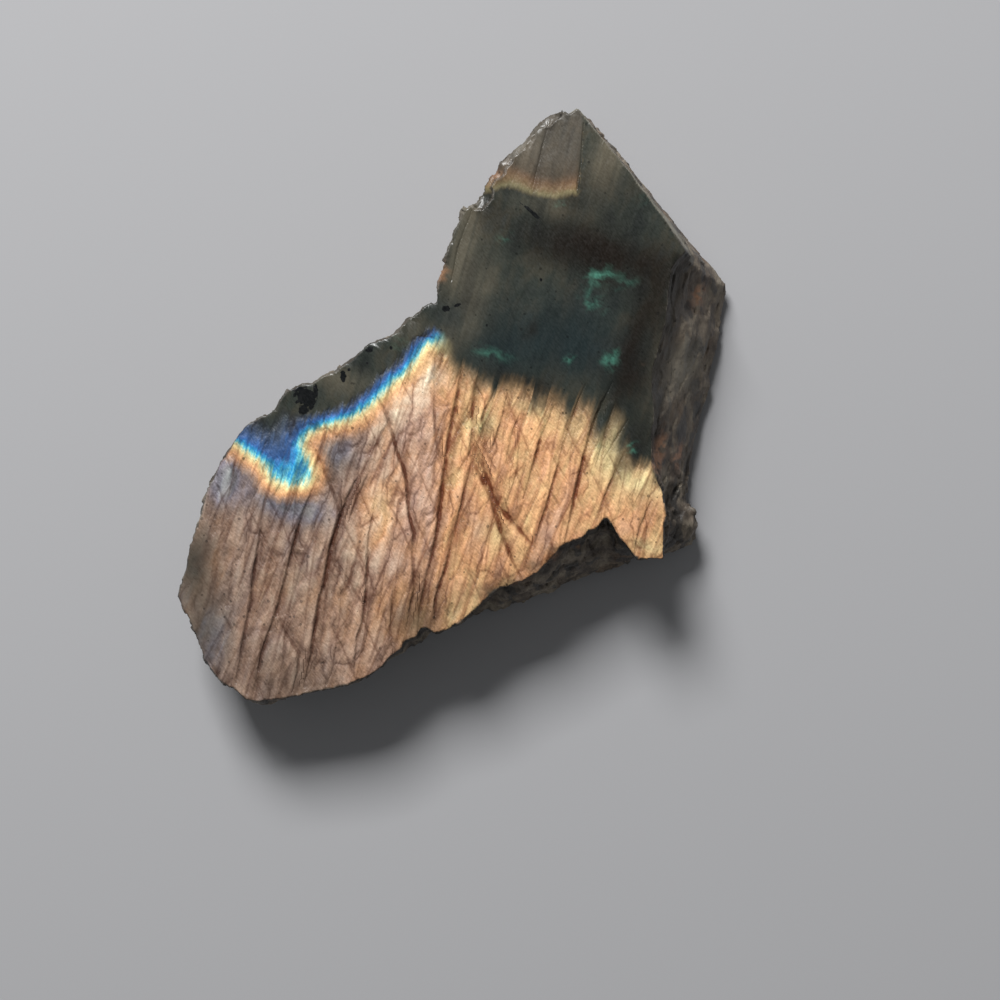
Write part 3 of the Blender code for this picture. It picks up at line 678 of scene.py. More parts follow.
def labradorite():
    material = bpy.data.materials.new("labradorite_broken_and_ground")
    material.use_nodes = True
    tree = material.node_tree
    shader = tree.nodes["Principled BSDF"]
    shader.inputs["IOR"].default_value = 1.56
    shader.inputs["Specular IOR Level"].default_value = 0.36

    field = {
        name: add(tree, "ShaderNodeAttribute", attribute_name=name, attribute_type="GEOMETRY").outputs["Fac"]
        for name in FIELDS + SKIN_FIELDS
    }

    def swing(value, size):
        """A noise from 0 to 1 as a swing of this size about nothing."""
        middle = add(tree, "ShaderNodeMath", {0: value, 1: 0.5}, operation="SUBTRACT")
        return add(tree, "ShaderNodeMath", {0: middle, 1: size}, operation="MULTIPLY")

    def mottle(space, lean, length, width, detail=2.0, roughness=0.5):
        """Noise from 0 to 1, drawn out along a direction that leans from +Y to +X. Sizes in millimetres."""
        place = stretched(tree, space, lean, length, width)
        inputs = {"Vector": place, "Scale": 1.0, "Detail": detail, "Roughness": roughness}
        return add(tree, "ShaderNodeTexNoise", inputs)

    coordinates = add(tree, "ShaderNodeTexCoord").outputs["Object"]
    millimetres = add(
        tree, "ShaderNodeVectorMath", {0: coordinates, "Scale": 1 / MM}, operation="SCALE",
    ).outputs[0]
    plan = add(
        tree, "ShaderNodeVectorMath", {0: millimetres, 1: (1.0, 1.0, 0.0)}, operation="MULTIPLY",
    ).outputs[0]
    x, _, z = add(tree, "ShaderNodeSeparateXYZ", {0: millimetres}).outputs

    # Noise at the sizes of the twin strips, of the brush-like teeth of a flash edge, and of the grain.
    # Real grinding scratches and grain are finer. Here they are as coarse as they need to be to show.
    streaks = mottle(millimetres, TWIN_LEAN, 30.0, 0.9, 1.0)
    teeth = mottle(millimetres, TWIN_LEAN, 2.0, 0.30)
    cloud = mottle(millimetres, TWIN_LEAN, 5.0, 3.0, 3.0)
    dapple = mottle(millimetres, TWIN_LEAN, 2.4, 1.5, 3.0, 0.6)
    grain = mottle(millimetres, SCRATCH_LEAN, 0.55, 0.20, 2.0, 0.65)
    scratches = mottle(plan, SCRATCH_LEAN, 1.1, 0.26, 1.0)
    specks = mottle(millimetres, TWIN_LEAN, 0.7, 0.6, 3.0, 0.6)
    blotches = mottle(millimetres, TWIN_LEAN, 0.9, 1.2, 1.5)

    # Finer cracks: how dark each place is, from its lines and the shade painted to their right, how deep its
    # line, and the highlight painted on a line's left edge, where the light would catch it.
    sway = swing(mottle(plan, TWIN_LEAN, 12.0, 9.0, 1.0), CRACK_SWAY)
    shiver = swing(mottle(plan, TWIN_LEAN, 2.4, 1.2, 2.0), CRACK_SHIVER)
    sway = add(tree, "ShaderNodeMath", {0: sway, 1: shiver}, operation="ADD")
    kept = 1.0
    fine = 0.0
    painted_fine_highlight = 0.0
    levels = []
    for number, (lean, spacing, line_width, darkness, reach) in enumerate(FINE_CRACKS):
        turned = stretched(tree, plan, lean, 1.0, 1.0)
        across = add(tree, "ShaderNodeSeparateXYZ", {0: turned})
        across = add(tree, "ShaderNodeMath", {0: across, 1: sway}, operation="ADD")
        across = add(
            tree, "ShaderNodeMath", {0: across, 1: 1 / spacing, 2: FAMILY_SHIFT * number},
            operation="MULTIPLY_ADD",
        )
        strips = {
            feature: add(
                tree, "ShaderNodeTexVoronoi", {"W": across, "Scale": 1.0}, voronoi_dimensions="1D",
                feature=feature,
            )
            for feature in ("DISTANCE_TO_EDGE", "F1")
        }
        edge = add(
            tree, "ShaderNodeMath", {0: strips["DISTANCE_TO_EDGE"].outputs["Distance"], 1: spacing},
            operation="MULTIPLY",
        )
        cell = strips["F1"]
        right_of_line = add(tree, "ShaderNodeMath", {0: across, 1: cell.outputs["W"]}, operation="LESS_THAN")
        presence = mottle(plan, lean, 9.0, spacing * 0.7, 1.5)
        presence = add(
            tree, "ShaderNodeMapRange", {0: presence, 1: 0.44, 2: 0.60}, interpolation_type="SMOOTHSTEP",
        )
        line = add(
            tree, "ShaderNodeMapRange", {0: edge, 1: 0.0, 2: line_width, 3: 1.0, 4: 0.0},
            interpolation_type="SMOOTHSTEP",
        )
        line = add(tree, "ShaderNodeMath", {0: line, 1: presence}, operation="MULTIPLY")
        # A shade painted to the right of each line, and a highlight painted on its left edge.
        shade = add(
            tree, "ShaderNodeMapRange", {0: edge, 1: 0.0, 2: reach, 3: 1.0, 4: 0.0},
            interpolation_type="SMOOTHSTEP",
        )
        for share in (right_of_line, presence):
            shade = add(tree, "ShaderNodeMath", {0: shade, 1: share}, operation="MULTIPLY")
        left_of_line = add(tree, "ShaderNodeMath", {0: 1.0, 1: right_of_line}, operation="SUBTRACT")
        left_edge_highlight = add(
            tree, "ShaderNodeMapRange", {0: edge, 1: 0.0, 2: reach * 0.7, 3: 1.0, 4: 0.0},
            interpolation_type="SMOOTHSTEP",
        )
        left_edge_highlight = add(tree, "ShaderNodeMath", {0: left_edge_highlight, 1: left_of_line}, operation="MULTIPLY")
        shade = add(tree, "ShaderNodeMath", {0: shade, 1: 0.60}, operation="MULTIPLY")
        darkest = add(tree, "ShaderNodeMath", {0: line, 1: shade}, operation="MAXIMUM")
        kept_here = add(tree, "ShaderNodeMath", {0: darkest, 1: -darkness, 2: 1.0}, operation="MULTIPLY_ADD")
        kept = add(tree, "ShaderNodeMath", {0: kept, 1: kept_here}, operation="MULTIPLY")
        line = add(tree, "ShaderNodeMath", {0: line, 1: darkness}, operation="MULTIPLY")
        fine = add(tree, "ShaderNodeMath", {0: fine, 1: line}, operation="MAXIMUM")
        left_edge_highlight = add(tree, "ShaderNodeMath", {0: left_edge_highlight, 1: presence}, operation="MULTIPLY")
        painted_fine_highlight = add(tree, "ShaderNodeMath", {0: painted_fine_highlight, 1: left_edge_highlight}, operation="MAXIMUM")
        levels.append(add(tree, "ShaderNodeSeparateXYZ", {0: cell.outputs["Color"]}).outputs[0])

    # A loose net of hair cracks joins them. The face swells a little between its lines, and the swells are
    # also painted lighter in their middles and darker towards the lines, as shading.
    warp = mottle(plan, TWIN_LEAN, 4.0, 3.0).outputs["Color"]
    warp = add(tree, "ShaderNodeVectorMath", {0: warp, 1: (0.5, 0.5, 0.5)}, operation="SUBTRACT")
    place = stretched(tree, plan, TWIN_LEAN, *NET_SIZE)
    warped = {0: warp, 1: (NET_WARP, NET_WARP, 0.0), 2: place}
    place = add(tree, "ShaderNodeVectorMath", warped, operation="MULTIPLY_ADD")
    net = add(
        tree, "ShaderNodeTexVoronoi", {"Vector": place, "Scale": 1.0}, voronoi_dimensions="2D",
        feature="DISTANCE_TO_EDGE",
    )
    swell_with_painted_shading = add(
        tree, "ShaderNodeMapRange", {0: net.outputs["Distance"], 1: 0.0, 2: 0.30},
        interpolation_type="SMOOTHSTEP",
    )
    swell_with_painted_shading = add(tree, "ShaderNodeMath", {0: swell_with_painted_shading, 1: 0.6}, operation="SUBTRACT")
    left_share = add(
        tree, "ShaderNodeMapRange", {0: x, 1: -4.0, 2: 6.0, 3: 1.0, 4: 0.4}, interpolation_type="SMOOTHSTEP",
    )
    swell_with_painted_shading = add(tree, "ShaderNodeMath", {0: swell_with_painted_shading, 1: left_share}, operation="MULTIPLY")
    net = add(
        tree, "ShaderNodeMapRange",
        {0: net.outputs["Distance"], 1: 0.0, 2: NET_LINE / NET_SIZE[1], 3: 1.0, 4: 0.0},
        interpolation_type="SMOOTHSTEP",
    )
    net_share = add(
        tree, "ShaderNodeMapRange", {0: cloud, 1: 0.42, 2: 0.58, 3: 0.0, 4: 1.0},
        interpolation_type="SMOOTHSTEP",
    )
    net = add(tree, "ShaderNodeMath", {0: net, 1: net_share}, operation="MULTIPLY")
    net = add(tree, "ShaderNodeMath", {0: net, 1: -NET_DARKNESS, 2: 1.0}, operation="MULTIPLY_ADD")
    kept = add(tree, "ShaderNodeMath", {0: kept, 1: net}, operation="MULTIPLY")

    # The flash: layer spacing from the distance to its edge. Crisp and full on the left, soft on the right.
    full = add(tree, "ShaderNodeMath", {0: 1.0, 1: field["shallow"]}, operation="SUBTRACT")
    depth = add(tree, "ShaderNodeMath", {0: field["flash_edge"], 1: full}, operation="MULTIPLY")
    for part in (field["reach"], swing(teeth, 1.1)):
        depth = add(tree, "ShaderNodeMath", {0: depth, 1: part}, operation="ADD")
    soft_depth = depth
    for part in (swing(levels[0], 1.4), swing(streaks, 1.8), swing(cloud, 1.8), swing(dapple, 1.2)):
        soft_depth = add(tree, "ShaderNodeMath", {0: soft_depth, 1: part}, operation="ADD")
    for start, end, share in ((12.0, 18.0, 0.65), (21.0, 23.0, 2.6)):
        step = add(
            tree, "ShaderNodeMapRange", {0: x, 1: start, 2: end, 3: 1.0, 4: share},
            interpolation_type="SMOOTHSTEP",
        )
        soft_depth = add(tree, "ShaderNodeMath", {0: soft_depth, 1: step}, operation="MULTIPLY")
    far_depth = add(tree, "ShaderNodeMath", {0: depth, 1: 1.1}, operation="ADD")
    far_share = add(
        tree, "ShaderNodeMapRange", {0: x, 1: -20.5, 2: -15.5, 3: 0.26, 4: 1.0},
        interpolation_type="SMOOTHSTEP",
    )
    far_depth = add(tree, "ShaderNodeMath", {0: far_depth, 1: far_share}, operation="MULTIPLY")
    crisp = 0.0
    for measure, start, end, rise in (
        (far_depth, -0.9, 0.0, 0.15),
        (depth, -1.1, -0.1, 0.19),
        (depth, -0.1, 0.9, 0.17),
        (depth, 0.9, 2.6, 0.19),
    ):
        step = add(tree, "ShaderNodeMapRange", {0: measure, 1: start, 2: end, 3: 0.0, 4: rise})
        crisp = add(tree, "ShaderNodeMath", {0: crisp, 1: step}, operation="ADD")
    soft = add(tree, "ShaderNodeMapRange", {0: soft_depth, 1: -1.2, 2: 2.2, 3: 0.47, 4: 0.54})
    on_right = add(tree, "ShaderNodeMapRange", {0: x, 1: -3.5, 2: 1.0}, interpolation_type="SMOOTHSTEP")
    edge_spacing = add(tree, "ShaderNodeMix", {0: on_right, 2: crisp, 3: soft})
    inner = add(tree, "ShaderNodeMapRange", {0: depth, 1: 0.5, 2: 3.0}, interpolation_type="SMOOTHSTEP")
    changes = field["hue"]
    for pattern, size in (
        (streaks, 0.07), (cloud, 0.22), (levels[0], 0.05), (levels[1], 0.04), (dapple, 0.16),
    ):
        changes = add(tree, "ShaderNodeMath", {0: changes, 1: swing(pattern, size)}, operation="ADD")
    spacing = add(tree, "ShaderNodeMath", {0: changes, 1: inner, 2: edge_spacing}, operation="MULTIPLY_ADD")

    # How strongly it shines. The far left is dimmer inside.
    lobe_inside = add(tree, "ShaderNodeMapRange", {0: depth, 1: 0.6, 2: 2.4}, interpolation_type="SMOOTHSTEP")
    lobe_dimming = add(
        tree, "ShaderNodeMapRange", {0: x, 1: -16.0, 2: -5.0, 3: -0.36, 4: 0.0},
        interpolation_type="SMOOTHSTEP",
    )
    lobe_share = add(
        tree, "ShaderNodeMath", {0: lobe_inside, 1: lobe_dimming, 2: 1.0}, operation="MULTIPLY_ADD",
    )
    glow_left = add(
        tree, "ShaderNodeMapRange", {0: far_depth, 1: -1.15, 2: 0.15}, interpolation_type="SMOOTHSTEP",
    )
    glow_left = add(tree, "ShaderNodeMath", {0: glow_left, 1: lobe_share}, operation="MULTIPLY")
    glow_right = add(
        tree, "ShaderNodeMapRange", {0: soft_depth, 1: -1.6, 2: 2.8}, interpolation_type="SMOOTHSTEP",
    )
    glow_right = add(tree, "ShaderNodeMath", {0: glow_right, 1: 1.5}, operation="POWER")
    glow_right = add(tree, "ShaderNodeMath", {0: glow_right, 1: 0.95}, operation="MULTIPLY")
    glow = add(tree, "ShaderNodeMix", {0: on_right, 2: glow_left, 3: glow_right})
    glow = add(tree, "ShaderNodeMath", {0: field["glow"], 1: inner, 2: glow}, operation="MULTIPLY_ADD")

    # The small flash in the tip: green at its lower edge, then orange, then a pinkish grey.
    tip = add(tree, "ShaderNodeMath", {0: field["tip_edge"], 1: swing(teeth, 0.5)}, operation="ADD")
    tip_spacing = add(tree, "ShaderNodeMapRange", {0: tip, 1: -0.5, 2: 1.0, 3: 0.36, 4: 0.52})
    past_orange = add(tree, "ShaderNodeMapRange", {0: tip, 1: 1.0, 2: 4.0, 3: 0.0, 4: 0.28})
    tip_spacing = add(tree, "ShaderNodeMath", {0: tip_spacing, 1: past_orange}, operation="ADD")
    in_tip = add(tree, "ShaderNodeMapRange", {0: tip, 1: -0.6, 2: 0.2}, interpolation_type="SMOOTHSTEP")
    tip_strength = add(
        tree, "ShaderNodeMapRange", {0: tip, 1: 0.6, 2: 2.6, 3: 0.22, 4: 0.08},
        interpolation_type="SMOOTHSTEP",
    )
    left_of_end = add(
        tree, "ShaderNodeMapRange", {0: field["tip_end"], 1: 0.0, 2: 0.5}, interpolation_type="SMOOTHSTEP",
    )
    tip_glow = in_tip
    for share in (tip_strength, left_of_end):
        tip_glow = add(tree, "ShaderNodeMath", {0: tip_glow, 1: share}, operation="MULTIPLY")
    spacing = add(tree, "ShaderNodeMix", {0: in_tip, 2: spacing, 3: tip_spacing})
    glow = add(tree, "ShaderNodeMath", {0: glow, 1: tip_glow}, operation="MAXIMUM")
    glow = add(tree, "ShaderNodeMath", {0: glow, 1: 1.0}, operation="MINIMUM")
    flash = add(tree, "ShaderNodeValToRGB", {0: spacing})
    set_ramp(flash, FLASH_COLOURS)
    # The cream tint comes from its own patches, and from a highlight painted on the swells.
    cream = add(tree, "ShaderNodeMath", {0: swell_with_painted_shading, 1: 0.30, 2: field["cream"]}, operation="MULTIPLY_ADD")
    cream = add(tree, "ShaderNodeMath", {0: cream, 1: inner}, operation="MULTIPLY")
    for part, full_at, least, tint in ((cream, 0.65, 0.5, "#EBDDC0"), (field["straw"], 0.60, 0.7, "#DDD09A")):
        variation = add(
            tree, "ShaderNodeMapRange", {0: dapple, 1: 0.35, 2: full_at, 3: least, 4: 1.2},
            interpolation_type="SMOOTHSTEP",
        )
        share = add(tree, "ShaderNodeMath", {0: part, 1: variation}, operation="MULTIPLY", use_clamp=True)
        flash = add(tree, "ShaderNodeMix", {0: share, 6: flash, 7: linear(tint)}, data_type="RGBA").outputs[2]

    # The dull body of the stone, seen where nothing flashes.
    body_tone = add(tree, "ShaderNodeMath", {0: cloud, 1: swing(streaks, 0.25)}, operation="ADD")
    body = add(tree, "ShaderNodeValToRGB", {0: body_tone})
    set_ramp(body, ((0.30, "#262B28"), (0.48, "#333832"), (0.62, "#403F35"), (0.75, "#3A3E39")))
    colour = body.outputs[0]
    for name, tint, swinging in (
        ("pale", "#7A7260", streaks), ("deep", "#14262B", cloud), ("brown", "#150C05", cloud),
    ):
        variation = add(
            tree, "ShaderNodeMapRange", {0: swinging, 1: 0.35, 2: 0.62, 3: 0.70, 4: 1.2},
            interpolation_type="SMOOTHSTEP",
        )
        share = add(tree, "ShaderNodeMath", {0: field[name], 1: variation}, operation="MULTIPLY")
        share = add(tree, "ShaderNodeMath", {0: share, 1: -1.5}, operation="MULTIPLY")
        left_over = add(tree, "ShaderNodeMath", {0: share}, operation="EXPONENT")
        share = add(tree, "ShaderNodeMath", {0: 1.0, 1: left_over}, operation="SUBTRACT")
        colour = add(
            tree, "ShaderNodeMix", {0: share, 6: colour, 7: linear(tint)}, data_type="RGBA",
        ).outputs[2]
    for name, tint in (("teal", "#5CA58E"), ("ember", "#A57A58")):
        variation = add(
            tree, "ShaderNodeMapRange", {0: blotches, 1: 0.30, 2: 0.60, 3: 0.35, 4: 1.35},
            interpolation_type="SMOOTHSTEP",
        )
        share = add(tree, "ShaderNodeMath", {0: field[name], 1: variation}, operation="MULTIPLY")
        share = add(tree, "ShaderNodeMath", {0: share, 1: swing(grain, 0.20)}, operation="ADD")
        share = add(tree, "ShaderNodeMapRange", {0: share, 1: 0.05, 2: 1.20}, interpolation_type="SMOOTHSTEP")
        share = add(tree, "ShaderNodeMath", {0: share, 1: 0.9}, operation="MULTIPLY")
        colour = add(
            tree, "ShaderNodeMix", {0: share, 6: colour, 7: linear(tint)}, data_type="RGBA",
        ).outputs[2]
    colour = add(tree, "ShaderNodeMix", {0: glow, 6: colour, 7: flash}, data_type="RGBA").outputs[2]

    # Open cracks: a dark line, a shade painted close about it and fading out further to its right, and a
    # highlight painted on its left side.
    side = field["crack_side"]
    for pattern, size in ((specks, 0.26), (teeth, 0.10)):
        side = add(tree, "ShaderNodeMath", {0: side, 1: swing(pattern, size)}, operation="ADD")
    distance = field["crack_distance"]
    openness = add(
        tree, "ShaderNodeMapRange", {0: dapple, 1: 0.3, 2: 0.7, 3: 0.55, 4: 1.25},
        interpolation_type="SMOOTHSTEP",
    )
    openness = add(tree, "ShaderNodeMath", {0: field["crack_openness"], 1: openness}, operation="MULTIPLY")
    off_line = add(tree, "ShaderNodeMath", {0: side}, operation="ABSOLUTE")
    core_width = add(tree, "ShaderNodeMath", {0: openness, 1: 0.26, 2: 0.09}, operation="MULTIPLY_ADD")
    core = add(
        tree, "ShaderNodeMapRange", {0: off_line, 1: 0.0, 2: core_width, 3: 1.0, 4: 0.0},
        interpolation_type="SMOOTHSTEP",
    )
    near_crack = add(
        tree, "ShaderNodeMapRange", {0: distance, 1: 0.5, 2: 0.8, 3: 1.0, 4: 0.0},
        interpolation_type="SMOOTHSTEP",
    )
    open_share = add(tree, "ShaderNodeMath", {0: openness, 1: 1.0}, operation="MINIMUM")
    cloudy_share = add(
        tree, "ShaderNodeMapRange", {0: cloud, 1: 0.40, 2: 0.58, 3: 0.60, 4: 1.0},
        interpolation_type="SMOOTHSTEP",
    )
    for share in (near_crack, open_share, cloudy_share):
        core = add(tree, "ShaderNodeMath", {0: core, 1: share}, operation="MULTIPLY")
    shade = add(
        tree, "ShaderNodeMapRange", {0: distance, 1: 0.0, 2: 1.8, 3: 1.0, 4: 0.0},
        interpolation_type="SMOOTHSTEP",
    )
    right_side = add(
        tree, "ShaderNodeMapRange", {0: side, 1: -0.30, 2: 0.10}, interpolation_type="SMOOTHSTEP",
    )
    shade = add(tree, "ShaderNodeMath", {0: shade, 1: right_side}, operation="MULTIPLY")
    close_shade = add(
        tree, "ShaderNodeMapRange", {0: distance, 1: 0.0, 2: 0.75, 3: 0.85, 4: 0.0},
        interpolation_type="SMOOTHSTEP",
    )
    shade = add(tree, "ShaderNodeMath", {0: shade, 1: close_shade}, operation="MAXIMUM")
    shade = add(tree, "ShaderNodeMath", {0: shade, 1: openness}, operation="MULTIPLY")
    shade = add(tree, "ShaderNodeMath", {0: shade, 1: 0.50}, operation="MULTIPLY")
    # A highlight painted on the left side of each crack.
    painted_crack_highlight = add(
        tree, "ShaderNodeMapRange", {0: distance, 1: 0.2, 2: 1.5, 3: 1.0, 4: 0.0},
        interpolation_type="SMOOTHSTEP",
    )
    left_side = add(
        tree, "ShaderNodeMapRange", {0: side, 1: -0.45, 2: -0.20, 3: 1.0, 4: 0.0},
        interpolation_type="SMOOTHSTEP",
    )
    painted_crack_highlight = add(tree, "ShaderNodeMath", {0: painted_crack_highlight, 1: left_side}, operation="MULTIPLY")

    # The crack lines and the shade painted beside them darken the flash to a warm brown, and the dull body
    # hardly.
    dark = add(tree, "ShaderNodeMath", {0: core, 1: 0.68, 2: shade}, operation="MULTIPLY_ADD", use_clamp=True)
    dark = add(tree, "ShaderNodeMath", {0: 1.0, 1: dark}, operation="SUBTRACT")
    kept = add(tree, "ShaderNodeMath", {0: kept, 1: dark}, operation="MULTIPLY")
    in_flash = add(
        tree, "ShaderNodeMapRange", {0: glow, 1: 0.0, 2: 0.5, 3: 0.18, 4: 1.0},
        interpolation_type="SMOOTHSTEP",
    )
    dark = add(tree, "ShaderNodeMath", {0: 1.0, 1: kept}, operation="SUBTRACT")
    dark = add(tree, "ShaderNodeMath", {0: dark, 1: in_flash}, operation="MULTIPLY", use_clamp=True)
    warm_shade = [
        add(tree, "ShaderNodeMath", {0: dark, 1: -share, 2: 1.0}, operation="MULTIPLY_ADD")
        for share in (0.80, 0.89, 0.92)
    ]
    warm_shade = add(tree, "ShaderNodeCombineXYZ", dict(enumerate(warm_shade)))
    colour = add(
        tree, "ShaderNodeMix", {0: 1.0, 6: colour, 7: warm_shade}, data_type="RGBA", blend_type="MULTIPLY",
    ).outputs[2]

    # Grain, scratches, streaks and pits mottle the face. Highlights painted beside the cracks, and light and
    # shade painted on the swells, are added to it.
    brightness = add(tree, "ShaderNodeMath", {0: 1.04, 1: field["shine"]}, operation="ADD")
    for pattern, size in ((grain, 1.0), (scratches, 0.5), (streaks, 0.16), (specks, 0.5), (dapple, 1.1)):
        brightness = add(tree, "ShaderNodeMath", {0: brightness, 1: swing(pattern, size)}, operation="ADD")
    painted_crack_highlight = add(tree, "ShaderNodeMath", {0: painted_crack_highlight, 1: painted_fine_highlight}, operation="MAXIMUM")
    for part, share in ((swell_with_painted_shading, 0.26), (painted_crack_highlight, 0.18)):
        brightness = add(tree, "ShaderNodeMath", {0: part, 1: share, 2: brightness}, operation="MULTIPLY_ADD")
    quiet = 1.0
    for pattern, size in ((grain, 0.35), (levels[0], 0.22), (cloud, 0.45)):
        quiet = add(tree, "ShaderNodeMath", {0: quiet, 1: swing(pattern, size)}, operation="ADD")
    brightness = add(tree, "ShaderNodeMix", {0: in_flash, 2: quiet, 3: brightness})
    # The pits are darkened inside: painted shade.
    pits = add(tree, "ShaderNodeTexVoronoi", {"Vector": millimetres, "Scale": 1.1}, feature="F1")
    pit_size = add(tree, "ShaderNodeSeparateXYZ", {0: pits.outputs["Color"]}).outputs[1]
    pit_size = add(tree, "ShaderNodeMapRange", {0: pit_size, 1: 0.5, 2: 1.0, 3: 0.0, 4: 0.20})
    pit = add(tree, "ShaderNodeMath", {0: pits.outputs["Distance"], 1: pit_size}, operation="LESS_THAN")
    pit_shade = add(tree, "ShaderNodeMath", {0: pit, 1: -0.5, 2: 1.0}, operation="MULTIPLY_ADD")
    brightness = add(tree, "ShaderNodeMath", {0: brightness, 1: pit_shade}, operation="MULTIPLY")
    # This brightness, real mottle and painted light and shade together, multiplies the colour of the face and
    # of the sides.
    light = add(tree, "ShaderNodeCombineXYZ", {0: brightness, 1: brightness, 2: brightness})
    face = add(
        tree, "ShaderNodeMix", {0: 1.0, 6: colour, 7: light}, data_type="RGBA", blend_type="MULTIPLY",
    ).outputs[2]

    # How far each place is from the nearest ore grain, in units of that grain's size.
    ore = FAR_FROM_ORE
    for middle, sizes, lean in ORE_GRAINS:
        inside = add(
            tree, "ShaderNodeMapping",
            {
                "Vector": plan, "Location": (middle[0], middle[1], 0), "Rotation": (0, 0, lean),
                "Scale": (sizes[0], sizes[1], 1),
            },
            vector_type="TEXTURE",
        )
        reach = add(tree, "ShaderNodeVectorMath", {0: inside.outputs[0]}, operation="LENGTH").outputs[1]
        ore = add(tree, "ShaderNodeMath", {0: ore, 1: reach}, operation="MINIMUM")
    for pattern, size in ((specks, 1.5), (blotches, 1.0)):
        ore = add(tree, "ShaderNodeMath", {0: ore, 1: swing(pattern, size)}, operation="ADD")
    ore = add(
        tree, "ShaderNodeMapRange", {0: ore, 1: 0.90, 2: 1.05, 3: 1.0, 4: 0.0},
        interpolation_type="SMOOTHSTEP",
    )
    face = add(tree, "ShaderNodeMix", {0: ore, 6: face, 7: linear("#06090B")}, data_type="RGBA").outputs[2]

    # The broken sides: dark grey-brown, paler on edges that stand out, with glassy cleavage here and there.
    # Just below the rim and in hollows they are darkened as painted shade.
    chips = mottle(millimetres, TWIN_LEAN, 3.4, 2.4, 6.0, 0.62)
    side_colour = add(tree, "ShaderNodeValToRGB", {0: chips})
    set_ramp(side_colour, ((0.34, "#47413B"), (0.46, "#695F55"), (0.56, "#857A6C"), (0.68, "#948A7A")))
    stain = mottle(millimetres, TWIN_LEAN, 6.0, 4.0)
    stain = add(tree, "ShaderNodeMapRange", {0: stain, 1: 0.54, 2: 0.70}, interpolation_type="SMOOTHSTEP")
    glassy = mottle(millimetres, -TWIN_LEAN, 4.2, 2.2, 1.5)
    glassy = add(tree, "ShaderNodeMapRange", {0: glassy, 1: 0.54, 2: 0.60}, interpolation_type="SMOOTHSTEP")
    # Darker just below the rim of the ground face: painted shade.
    near_rim = add(tree, "ShaderNodeMapRange", {0: z, 1: 8.5, 2: 11.0}, interpolation_type="SMOOTHSTEP")
    painted_shade_under_rim = add(
        tree, "ShaderNodeMapRange", {0: chips, 1: 0.35, 2: 0.60, 3: 0.50, 4: 0.90},
        interpolation_type="SMOOTHSTEP",
    )
    painted_shade_under_rim = add(tree, "ShaderNodeMath", {0: painted_shade_under_rim, 1: near_rim}, operation="MULTIPLY")
    ember = add(
        tree, "ShaderNodeMapRange", {0: blotches, 1: 0.32, 2: 0.58, 3: 0.1, 4: 1.3},
        interpolation_type="SMOOTHSTEP",
    )
    ember = add(tree, "ShaderNodeMath", {0: field["ember"], 1: ember}, operation="MULTIPLY", use_clamp=True)
    far_right = add(tree, "ShaderNodeMapRange", {0: x, 1: 20.0, 2: 22.0}, interpolation_type="SMOOTHSTEP")
    upper_part = add(tree, "ShaderNodeMapRange", {0: z, 1: 9.5, 2: 12.0}, interpolation_type="SMOOTHSTEP")
    ember_place = add(tree, "ShaderNodeMath", {0: far_right, 1: upper_part}, operation="MAXIMUM")
    ember = add(tree, "ShaderNodeMath", {0: ember, 1: ember_place}, operation="MULTIPLY")
    paler_on_ridges = add(
        tree, "ShaderNodeMapRange", {0: field["ridge"], 1: 0.05, 2: 0.16}, interpolation_type="SMOOTHSTEP",
    )
    # Darker in hollows: painted shade.
    painted_shade_in_hollows = add(
        tree, "ShaderNodeMapRange", {0: field["ridge"], 1: -0.14, 2: -0.03, 3: 1.0, 4: 0.0},
        interpolation_type="SMOOTHSTEP",
    )
    worn = add(
        tree, "ShaderNodeMapRange", {0: dapple, 1: 0.30, 2: 0.60, 3: 0.55, 4: 0.90},
        interpolation_type="SMOOTHSTEP",
    )
    worn = add(tree, "ShaderNodeMath", {0: field["worn"], 1: worn}, operation="MULTIPLY")
    sides = side_colour.outputs[0]
    for part, share, tint in (
        (stain, 0.55, "#67503A"),
        (glassy, 0.65, "#3B3D3F"),
        (painted_shade_under_rim, 1.0, "#2E2B26"),
        (field["pale"], 0.65, "#A39B8A"),
        (field["brown"], 0.60, "#2A231C"),
        (ember, 0.85, "#B88A6C"),
        (paler_on_ridges, 0.30, "#8C877D"),
        (painted_shade_in_hollows, 0.60, "#1F1B19"),
        (worn, 1.0, "#8F8B7E"),
    ):
        share = add(tree, "ShaderNodeMath", {0: part, 1: share}, operation="MULTIPLY", use_clamp=True)
        sides = add(tree, "ShaderNodeMix", {0: share, 6: sides, 7: linear(tint)}, data_type="RGBA").outputs[2]
    sides = add(
        tree, "ShaderNodeMix", {0: 1.0, 6: sides, 7: light}, data_type="RGBA", blend_type="MULTIPLY",
    ).outputs[2]

